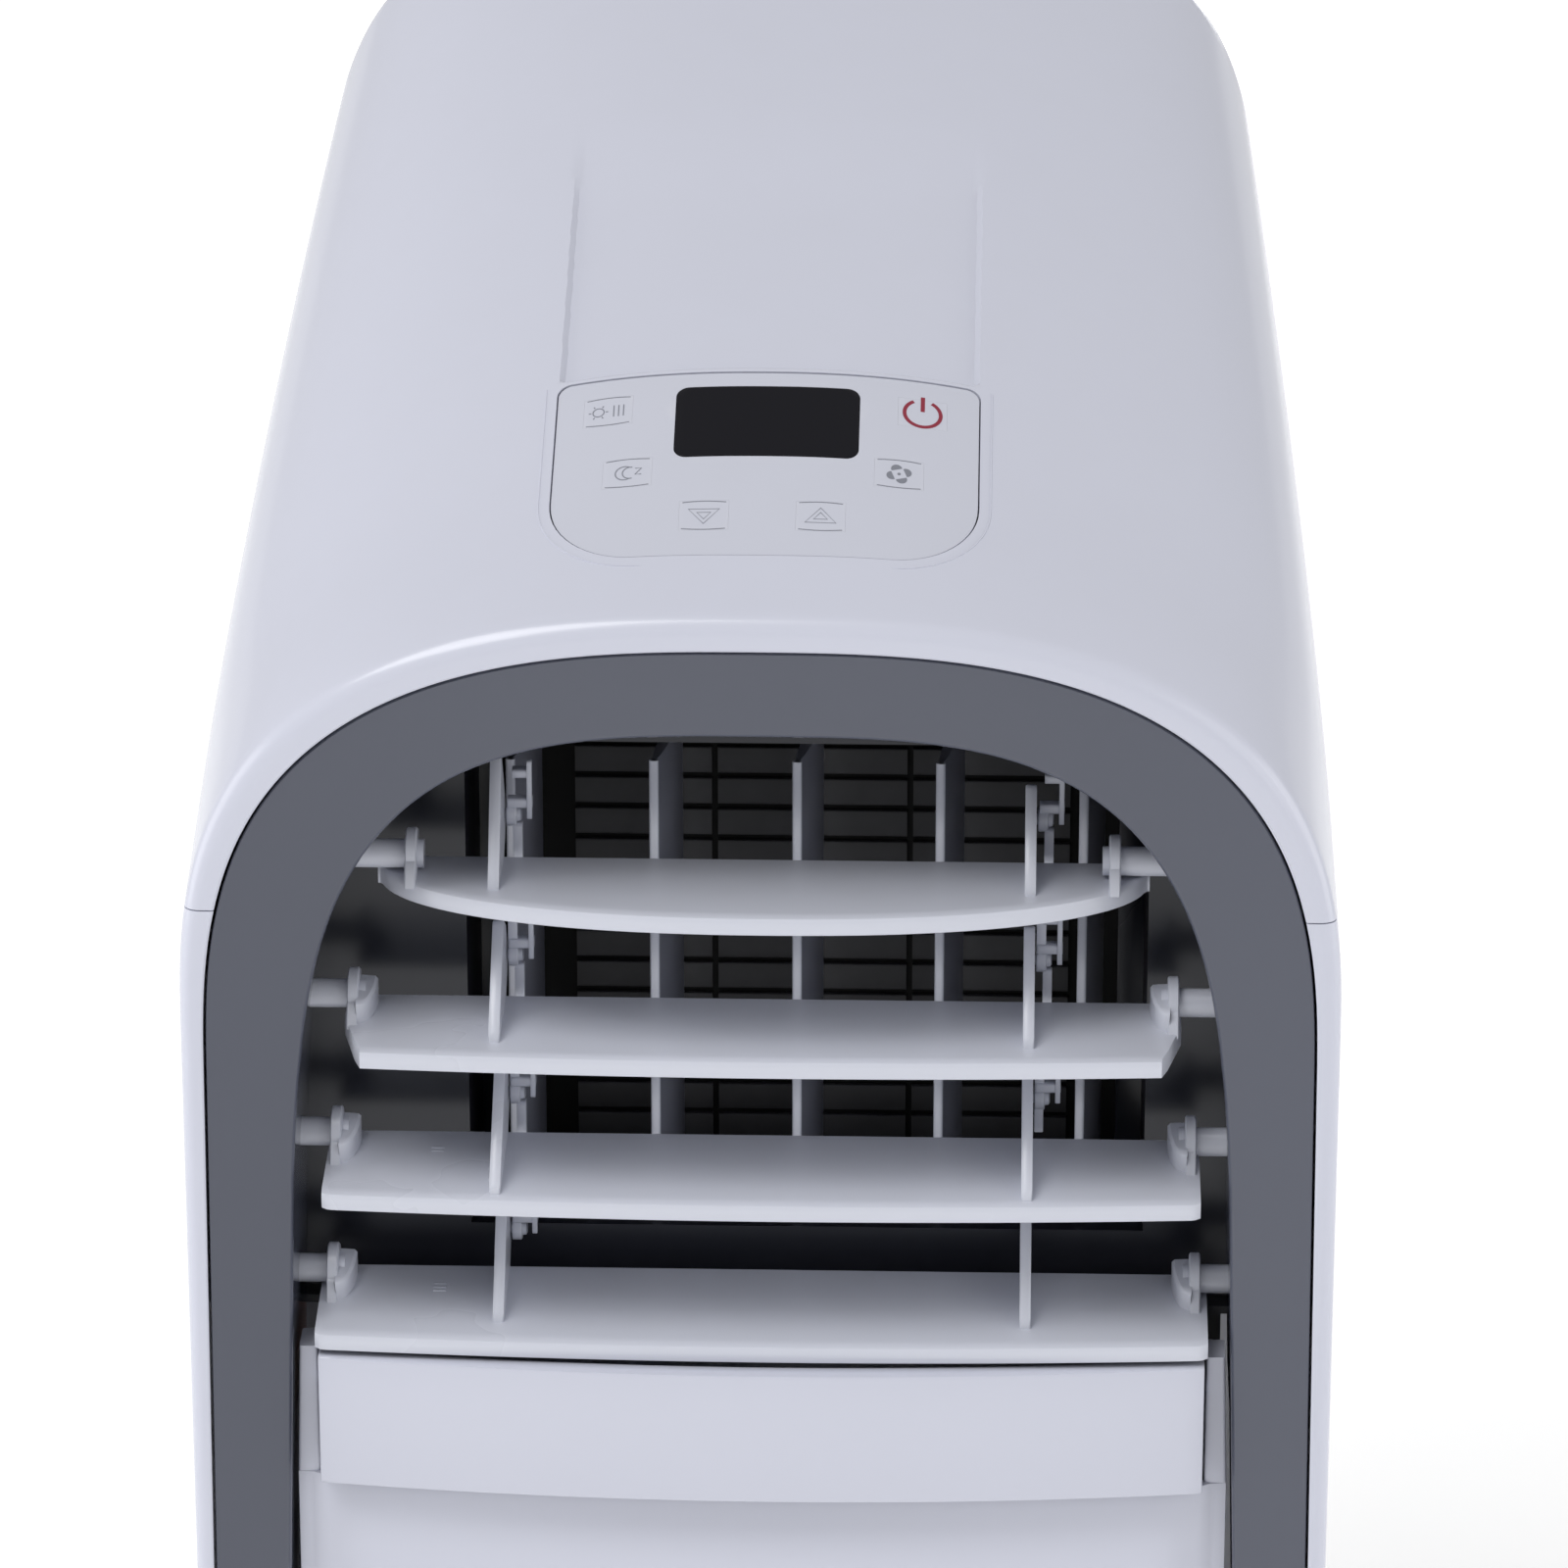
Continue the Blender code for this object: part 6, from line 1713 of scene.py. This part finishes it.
@dataclass
class SymbolPrint(Assembly):
    """The printed symbol of one key, as ink a few hundredths of a millimetre thick.

    Attributes:
        key: the key.
        lift: lift of the key's face.
        ink: thickness of the print.
        strokes: the outlines gathered so far.
    """

    key: Key
    lift: float
    ink: float = 0.00006
    strokes: list[list[tuple[float, float]]] = field(default_factory=list)

    def stroke(self, points: Ring, width: float, close: bool = False) -> None:
        """Adds a line of the symbol.

        Args:
            points: its path as (right, towards the rear) from the key's middle.
            width: its width.
            close: whether it ends where it starts.
        """
        path = [Vector((u, v)) for u, v in points]
        count = len(path)
        left, right = [], []
        for i, p in enumerate(path):
            before = path[(i - 1) % count] if close or i else p
            after = path[(i + 1) % count] if close or i < count - 1 else p
            along = (after - before).normalized()
            side = Vector((-along.y, along.x)) * width / 2
            left.append(p + side)
            right.append(p - side)
        pairs = list(range(count if close else count - 1))
        for i in pairs:
            j = (i + 1) % count
            self.strokes.append([tuple(left[i]), tuple(left[j]), tuple(right[j]), tuple(right[i])])

    def fill(self, outline: Ring) -> None:
        """Adds a filled convex shape of the symbol."""
        self.strokes.append([tuple(p) for p in outline])

    @staticmethod
    def arc(radius: float, start: float, end: float, u: float = 0.0, v: float = 0.0) -> Ring:
        """Points of an arc, in degrees."""
        count = max(int(abs(end - start) / 10), 2)
        angles = [math.radians(start + (end - start) * i / count) for i in range(count + 1)]
        return [(u + radius * math.cos(a), v + radius * math.sin(a)) for a in angles]

    def draw(self) -> None:
        """Draws the key's symbol."""
        thin = 0.00032
        symbol = self.key.symbol
        if symbol is Symbol.POWER:
            self.stroke(self.arc(0.0052, 120, 420), 0.0011)
            self.stroke([(0.0, 0.0008), (0.0, 0.0066)], 0.0012)
            return
        for v in (-0.0050, 0.0050):
            bow = math.copysign(0.0004, v)
            line = [(-0.0062 + 0.0124 * i / 8, v + bow * math.sin(math.pi * i / 8)) for i in range(9)]
            self.stroke(line, 0.0003)
        if symbol in (Symbol.UP, Symbol.DOWN):
            flip = 1 if symbol is Symbol.UP else -1
            for size in (1.0, 0.45):
                corners = ((-0.0044, -0.0024), (0.0044, -0.0024), (0.0, 0.0032))
                self.stroke([(u * size, v * size * flip) for u, v in corners], thin, close=True)
        elif symbol is Symbol.SLEEP:
            self.stroke(self.arc(0.0026, 60, 300, -0.0008), thin)
            self.stroke(self.arc(0.0022, 75, 285, 0.0008), thin)
            self.stroke([(0.0022, 0.0016), (0.0040, 0.0016), (0.0022, -0.0008), (0.0040, -0.0008)], thin)
        elif symbol is Symbol.FAN:
            for turn in (20, 110, 200, 290):
                u, v = 0.0021 * math.cos(math.radians(turn)), 0.0021 * math.sin(math.radians(turn))
                self.fill(self.arc(0.0016, turn - 100, turn + 100, u, v))
            self.fill(self.arc(0.0005, 0, 350))
        else:
            sun = -0.0028
            self.stroke(self.arc(0.0016, 0, 350, sun), thin, close=True)
            for a in (math.radians(60 * k) for k in range(6)):
                self.stroke([(sun + d * math.cos(a), d * math.sin(a)) for d in (0.0021, 0.0028)], thin)
            for u in (0.0016, 0.0030, 0.0044):
                self.stroke([(u, -0.0022), (u, 0.0022)], thin)

    def build(self) -> None:
        """Builds the ink as one piece on the key's body."""
        self.draw()
        solid = Solid(f"{self.key.node}_symbol")
        centre = SHAPE.front + self.key.back
        for outline in self.strokes:
            loops = []
            for lift in (self.lift - 0.00005, self.lift + self.ink):
                loops.append([SHAPE.skin_point(self.key.x + u, centre + v, lift) for u, v in outline])
            solid.rings(loops)
        solid.mount(self.key.node, Look.RED if self.key.symbol is Symbol.POWER else Look.INK)


# --- Rear ------------------------------------------------------------------------------------------
@dataclass
class RearCover(Assembly):
    """The rear cover with its screws, filter cassettes, hose collar, drain plugs and cord inlet.

    Attributes:
        upper: width, foot and top of the upper filter's window.
        lower: the same of the lower filter's window.
        exhaust: axis of the hose collar, across and up.
        inlet_at: axis of the cord inlet.
        plug_x: place of the drain plugs across.
        plug_radius: radius of their rims.
        mesh_pitch: distance between the filter mesh's wires.
        wire: radius of those wires.
    """

    upper: tuple[float, float, float] = (0.190, 0.412, 0.610)
    lower: tuple[float, float, float] = (0.206, 0.092, 0.240)
    exhaust: tuple[float, float] = (0.021, 0.311)
    inlet_at: tuple[float, float] = (-0.098, 0.311)
    plug_x: float = 0.095
    plug_radius: float = 0.0075
    mesh_pitch: float = 0.0032
    wire: float = 0.00018

    @property
    def face(self) -> float:
        """Y of the rear cover's outer face."""
        return SHAPE.rear - SHAPE.rear_recess

    @property
    def plugs(self) -> dict[str, float]:
        """Height of each drain plug's axis."""
        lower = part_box("drain_plug_lower")[0].z + self.plug_radius
        return {"drain_plug_upper": 0.396, "drain_plug_lower": lower}

    def build(self) -> None:
        """Builds every piece of the rear."""
        self.cover()
        self.cassette("upper_filter", self.upper)
        self.cassette("lower_filter", self.lower)
        self.collar()
        for name, height in self.plugs.items():
            self.plug(name, height)
        self.inlet()
        self.screws()

    def cover(self) -> None:
        """The cover plate with its windows and holes, and its drain slots as near-black painted-shade marks.
        """
        y0, y1 = self.face - SHAPE.wall, self.face
        through = (y0 - 0.01, y1 + 0.01)
        line = SHAPE.skin(SHAPE.rear, SHAPE.wall + SHAPE.gap).line(SHAPE.foot, 141)
        finish = Look.WHITE.value
        cover = Solid("rear_cover_plate").prism(line, "y", y0, y1).object(finish)
        for width, low, high in (self.upper, self.lower):
            hole = rounded(-width / 2, low, width / 2, high, 0.006, 10)
            cut(cover, Solid("hole").prism(hole, "y", *through))
        holes = Solid("holes")
        places = [(*self.exhaust, 0.0579, 96)]
        places += [(self.plug_x, height, 0.0059, 28) for height in self.plugs.values()]
        places.append((*self.inlet_at, 0.0064, 28))
        for x, z, radius, count in places:
            holes.turned([(radius, y) for y in through], (x, 0, z), "y", count)
        cut(cover, holes)
        soften(cover, 0.0005, 2, 60)
        place(cover, CABINET, finish, "rear_cover")
        for number, x in enumerate((-0.098, 0.098), 1):
            # Painted shade: each drain slot is a thin near-black mark on the face, not an opening.
            slot = rounded(x - 0.007, 0.262 - 0.0012, x + 0.007, 0.262 + 0.0012, 0.0011, 4)
            slots = Solid(f"rear_drain_slots_{number}").prism(slot, "y", y1 - 0.0004, y1 + 0.0003)
            slots.mount(CABINET, Look.GAP_SHADE, copies=(5, (0, 0, 0.006)))

    def cassette(self, name: str, window: tuple[float, float, float]) -> None:
        """One filter cassette: a slatted frame with a finger pull, and the mesh behind it.

        Args:
            name: its node and body.
            window: (width, low, high) of its opening.
        """
        width, low, high = window
        play, border, pitch = 0.0005, 0.0085, 0.0100
        u1, v0, v1 = width / 2 - play, low + play, high - play
        y1 = self.face + 0.001
        y0 = y1 - 0.010
        solid = Solid(f"{name}_frame")
        profile = [(0.0, 0.0055, y0), (0.0, 0.0055, y1 - 0.0008), (0.0008, 0.0047, y1), (0.0084, 0.0034, y1)]
        profile += [(0.009, 0.003, y1 - 0.0008), (0.009, 0.003, y0)]
        rings = []
        for inset, corner, y in profile:
            loop = rounded(-u1 + inset, v0 + inset, u1 - inset, v1 - inset, corner, 8)
            rings.append([(u, y, v) for u, v in loop])
        solid.rings(rings, close=True)
        solid.box((-0.0022, y0 + 0.002, v0 + 0.008), (0.0022, y1 - 0.0012, v1 - 0.008))
        solid.mount(name, Look.WHITE, name, angle=40)
        count = int((v1 - v0 - 0.022) / pitch) + 1
        start = (v0 + v1) / 2 - pitch * (count - 1) / 2
        section = [(0.0070, 0.0022), (0.0010, -0.0016), (0.0004, -0.0008), (0.0006, 0.0002), (0.0066, 0.0036)]
        section = [(y1 - inward, start + up) for inward, up in section]
        slats = Solid(f"{name}_slats").prism(section, "x", -u1 + border, u1 - border)
        slats.mount(name, Look.WHITE, copies=(count, (0, 0, pitch)))
        first, gap = border + 0.002, self.mesh_pitch
        across, upward = (int((span - 0.018) / gap) for span in (2 * u1, v1 - v0))
        rod = circle(y0 + 0.0012, 0, self.wire, 5)
        uprights = Solid(f"{name}_mesh_uprights")
        uprights.prism([(-u1 + first + b, a) for a, b in rod], "z", v0 + border, v1 - border)
        uprights.mount(name, Look.MESH, copies=(across, (gap, 0, 0)))
        rungs = Solid(f"{name}_mesh_rungs")
        section = [(a + self.wire, v0 + first + b) for a, b in rod]
        rungs.prism(section, "x", -u1 + border, u1 - border)
        rungs.mount(name, Look.MESH, copies=(upward, (0, 0, gap)))

    def collar(self) -> None:
        """The hose collar with its lip and bayonet notches."""
        x, z = self.exhaust
        y1, y0 = SHAPE.rear, SHAPE.rear - 0.024
        seat = self.face + 0.0004
        inner, outer, lip = 0.055, 0.0575, 0.0635
        profile = [(inner, y0), (outer, y0), (outer, seat), (lip, seat), (lip, y1 - 0.0026)]
        profile += [(lip - 0.0006, y1 - 0.0020), (outer + 0.0008, y1 - 0.0002), (outer, y1)]
        profile += [(inner + 0.0004, y1), (inner, y1 - 0.0004)]
        ring = Solid("exhaust_collar_ring").turned(profile, (x, 0, z), "y", 96, hoop=True)
        ring.mount(CABINET, Look.HANDLE, "exhaust_collar")
        tab = Solid("exhaust_collar_tabs")
        tab.box((-0.004, y1 - 0.010, inner - 0.0016), (0.004, y1 - 0.004, inner + 0.0006))
        quarter = (0, math.pi / 2, 0)
        tab.mount(CABINET, Look.HANDLE, copies=(4, (0, 0, 0), quarter), shift=(x, 0, z))

    def plug(self, name: str, z: float) -> None:
        """A rubber drain plug with a grip rib.

        Args:
            name: its node and body.
            z: height of its axis.
        """
        x, rim, tip = self.plug_x, self.plug_radius, 0.00005
        profile = [(tip, -0.012), (0.0048, -0.012), (0.0055, -0.0112), (0.0055, 0.0004)]
        profile += [(rim - 0.0003, 0.0004), (rim, 0.0008), (rim, 0.0024), (rim - 0.0005, 0.0030)]
        profile += [(0.0030, 0.0034), (tip, 0.0034)]
        solid = Solid(f"{name}_body").turned(profile, (x, self.face, z), "y", 32)
        grip = rounded(x - 0.0052, z - 0.0011, x + 0.0052, z + 0.0011, 0.001, 4)
        solid.prism(grip, "y", self.face + 0.0028, self.face + 0.0045)
        solid.mount(name, Look.RUBBER, name)

    def inlet(self) -> None:
        """The strain relief of the power cord, with its ribs."""
        x, z = self.inlet_at
        profile = [(0.006, -0.006), (0.006, 0.0004), (0.009, 0.0004), (0.0092, 0.0010), (0.0088, 0.0030)]
        profile += [(0.0078, 0.0032), (0.0075, 0.0038), (0.0078, 0.0044), (0.0068, 0.0048), (0.0064, 0.0055)]
        profile += [(0.0044, 0.0055), (0.0042, 0.0050), (0.0042, -0.006)]
        bush = Solid("cord_inlet_bush").turned(profile, (x, self.face, z), "y", 40, hoop=True)
        bush.mount(CABINET, Look.NYLON, "cord_inlet")

    def screws(self) -> None:
        """Screws down both edges of the rear cover and near its crown."""
        y, finish = self.face, Look.SCREW.value
        profile = [(0.0036, -0.0006), (0.0036, 0.0006), (0.0030, 0.0014), (0.0016, 0.0018), (0.0004, 0.0019)]
        upward, across = (0, 0, 0.118), (0.140, 0, 0)
        rows = ((-0.119, 0.090, 5, upward), (0.119, 0.090, 5, upward), (-0.070, 0.684, 2, across))
        for number, (x, z, count, step) in enumerate(rows, 1):
            head = Solid(f"rear_screws_{number}").turned(profile, (x, y, z), "y", 18).object(finish)
            for wide, high in ((0.0018, 0.0003), (0.0003, 0.0018)):
                slot = Solid("slot").box((x - wide, y + 0.0008, z - high), (x + wide, y + 0.0040, z + high))
                cut(head, slot)
            ArrayNodes.apply(head, finish, count, step)
            place(head, CABINET, finish)


# --- Base and casters ------------------------------------------------------------------------------
@dataclass
class Caster(Assembly):
    """One swivel caster.

    Attributes:
        place_name: where it stands.
        radius: wheel radius.
        width: wheel width.
        trail: swivel axis to the axle.
    """

    place_name: str
    radius: float = 0.018
    width: float = 0.015
    trail: float = 0.009

    def build(self) -> None:
        """Builds the wheel with its tread and hub, and the fork with its cover."""
        wheel_node, fork_node = f"caster_wheel_{self.place_name}", f"caster_fork_{self.place_name}"
        wheel_body, fork_body = f"wheel_{self.place_name}", f"caster_{self.place_name}"
        low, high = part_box(wheel_node)
        axle = (low + high) / 2
        w, r = self.width / 2, self.radius
        left = [(0.0032, 0.0015), (0.0060, 0.0010), (0.0066, 0.0024), (0.0128, 0.0024), (0.0136, 0.0004)]
        left += [(0.0150, 0.0), (0.0166, 0.0006), (r - 0.0004, 0.0022), (r, 0.0036)]
        groove = [(r, -0.0009), (r - 0.0006, -0.0004), (r - 0.0006, 0.0004), (r, 0.0009)]
        profile = [(a, d - w) for a, d in left] + groove + [(a, w - d) for a, d in reversed(left)]
        wheel = Solid(f"{wheel_node}_tyre").turned(profile, tuple(axle), "x", 56, hoop=True)
        wheel.mount(wheel_body, Look.TREAD, wheel_node)
        spoke = Solid(f"{wheel_node}_spokes")
        section = [(0.0060, -0.0010), (0.0132, -0.0008), (0.0132, 0.0008), (0.0060, 0.0010)]
        spoke.prism(section, "x", 0.0012 - w, w - 0.0012)
        sixth = (math.pi / 3, 0, 0)
        spoke.mount(wheel_body, Look.NYLON, copies=(6, (0, 0, 0), sixth), shift=axle)
        dress(fork_node, Look.NYLON)
        race = [(0.0100, 0.0405), (0.0138, 0.0405), (0.0146, 0.0412), (0.0146, 0.0442), (0.0140, 0.0448)]
        race.append((0.0100, 0.0448))
        cup = Solid(f"{fork_node}_race")
        cup.turned(race, (axle.x, axle.y - self.trail, 0), "z", 40, hoop=True)
        cup.mount(fork_body, Look.STEEL)
        caps = Solid(f"{fork_node}_axle_caps")
        for side in (-1, 1):
            steps = ((0.0107, 0.0034), (0.0115, 0.0034), (0.0120, 0.0026))
            caps.turned([(radius, side * out) for out, radius in steps], tuple(axle), "x", 20)
        caps.mount(fork_body, Look.SCREW)


@dataclass
class BasePan(Assembly):
    """The base pan and its stiffening ribs, with the casters under it.

    Attributes:
        casters: where each caster stands.
    """

    casters: tuple[str, ...] = ("front_left", "front_right", "rear_left", "rear_right")

    def build(self) -> None:
        """Dresses the pan and builds its ribs and casters."""
        dress("base_pan", Look.BASE)
        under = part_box("base_pan")[0].z
        pitch = 0.020
        rib = [(-0.0008, -0.0030), (0.0008, -0.0030), (0.0014, 0.0002), (-0.0014, 0.0002)]
        section = [(x - 4 * pitch, under + z) for x, z in rib]
        ribs = Solid("base_ribs").prism(section, "y", -0.100, 0.100)
        ribs.mount(CABINET, Look.BASE, copies=(9, (pitch, 0, 0)))
        for name in self.casters:
            Caster(name).build()


@dataclass
class Inside(Assembly):
    """The cold and hot halves inside the cabinet: mostly CAD nodes, with fins on both heat exchangers.

    Attributes:
        looks: each finish and its nodes.
        fin_pitch: distance between the fins.
    """

    looks: tuple[tuple[Look, tuple[str, ...]], ...] = (
        (Look.ALLOY, ("evaporator", "condenser")),
        (Look.DUCT, ("drip_tray", "blower_wheel", "condenser_fan", "exhaust_scroll")),
        (Look.STEEL, ("blower_motor", "condenser_fan_motor", "louvre_motor")),
        (Look.ENAMEL, ("compressor", "accumulator")),
        (Look.COPPER, ("suction_pipe", "discharge_pipe")),
    )
    fin_pitch: float = 0.0021

    def build(self) -> None:
        """Dresses the nodes and builds the fins."""
        for look, nodes in self.looks:
            for node in nodes:
                dress(node, look)
        for node, half in (("evaporator", 0.0985), ("condenser", 0.118)):
            low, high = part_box(node)
            start = (-half, high.y - 0.0004, low.z + 0.0005)
            fins = Solid(f"{node}_fins").box(start, (0.0003 - half, high.y + 0.0022, high.z - 0.0005))
            fins.mount(CABINET, Look.ALLOY, copies=(int(2 * half / self.fin_pitch), (self.fin_pitch, 0, 0)))


# --- Studio ----------------------------------------------------------------------------------------
@dataclass
class Studio(Assembly):
    """Pale floor, soft light and the camera.

    Attributes:
        lens: focal length on a 36 mm sensor.
        eye: the camera's place.
        pitch: degrees below the horizon.
        turn: degrees about Z.
    """

    lens: float = 180.0
    eye: tuple[float, float, float] = (0.0675, -2.2101, 1.3819)
    pitch: float = 21.775
    turn: float = 1.698

    def light(self, name: str, at: Point, aim: Point, size: float, power: float) -> None:
        """Adds a soft area light.

        Args:
            name: its name.
            at: its place.
            aim: what it points at.
            size: its side.
            power: its power in watts.
        """
        data = bpy.data.lights.new(name, "AREA")
        data.shape = "SQUARE"
        data.size = size
        data.energy = power
        lamp = bpy.data.objects.new(name, data)
        lamp.location = at
        lamp.rotation_euler = (Vector(aim) - Vector(at)).to_track_quat("-Z", "Y").to_euler()
        bpy.context.scene.collection.objects.link(lamp)

    def build(self) -> None:
        """Builds floor, world, lights and camera."""
        scene = bpy.context.scene
        world = bpy.data.worlds.new("Studio")
        scene.world = world
        scene.view_settings.view_transform = "Standard"
        world.use_nodes = True
        back = world.node_tree.nodes["Background"]
        back.inputs["Color"].default_value = (1.0, 1.0, 1.0, 1.0)
        back.inputs["Strength"].default_value = 0.40
        floor = bpy.data.meshes.new("studio_floor")
        size, drop = 30.0, -0.0005
        corners = [(-size, -size, drop), (size, -size, drop), (size, size, drop), (-size, size, drop)]
        floor.from_pydata(corners, [], [(0, 1, 2, 3)])
        floor.materials.append(self.floor_material())
        ground = bpy.data.objects.new("studio_floor", floor)
        scene.collection.objects.link(ground)
        self.light("key", (-0.9, -1.0, 2.6), (0, 0, 0.5), 1.3, 30.0)
        self.light("fill", (1.9, -1.6, 1.3), (0, 0, 0.45), 1.6, 7.0)
        self.light("left side", (-2.3, -0.4, 0.7), (0, 0, 0.4), 1.5, 14.0)
        self.light("right side", (2.3, -0.4, 0.7), (0, 0, 0.4), 1.5, 12.0)
        self.light("back", (0.2, 2.6, 1.1), (0, 0, 0.5), 1.6, 14.0)
        data = bpy.data.cameras.new("camera")
        data.lens = self.lens
        data.sensor_width = 36.0
        data.clip_end = 50.0
        camera = bpy.data.objects.new("camera", data)
        camera.location = self.eye
        camera.rotation_euler = (math.radians(90 - self.pitch), 0, math.radians(self.turn))
        scene.collection.objects.link(camera)
        scene.camera = camera

    @staticmethod
    def floor_material() -> bpy.types.Material:
        """Pale matte floor with a faint tone."""
        made = bpy.data.materials.new("Studio floor")
        made.use_nodes = True
        nodes, links = made.node_tree.nodes, made.node_tree.links
        shader = nodes["Principled BSDF"]
        shader.inputs["Roughness"].default_value = 0.9
        shader.inputs["Emission Color"].default_value = (1.0, 1.0, 1.0, 1.0)
        shader.inputs["Emission Strength"].default_value = 0.30
        noise = nodes.new("ShaderNodeTexNoise")
        noise.inputs["Scale"].default_value = 3.0
        ramp = nodes.new("ShaderNodeMapRange")
        ramp.inputs["To Min"].default_value = 0.93
        ramp.inputs["To Max"].default_value = 0.96
        place_node = nodes.new("ShaderNodeTexCoord")
        links.new(place_node.outputs["Object"], noise.inputs["Vector"])
        links.new(noise.outputs["Fac"], ramp.inputs["Value"])
        links.new(ramp.outputs["Result"], shader.inputs["Base Color"])
        return made


def main() -> None:
    """Builds every sub-assembly in order, then the studio."""
    logging.basicConfig(level=logging.INFO, format="%(name)s: %(message)s")
    assemblies: list[Assembly] = [
        CabinetShell(),
        HandCup(-1),
        HandCup(1),
        OutletSurround(),
        *LOUVRES,
        LouvreLink(-1, 4),
        LouvreLink(1, 3),
        *(Vane(index) for index in range(5)),
        OutletDuct(),
        FrontCovers(),
        KeyFilm(),
        RearCover(),
        BasePan(),
        Inside(),
        Studio(),
    ]
    for assembly in assemblies:
        assembly.build()


if __name__ == "__main__":
    main()
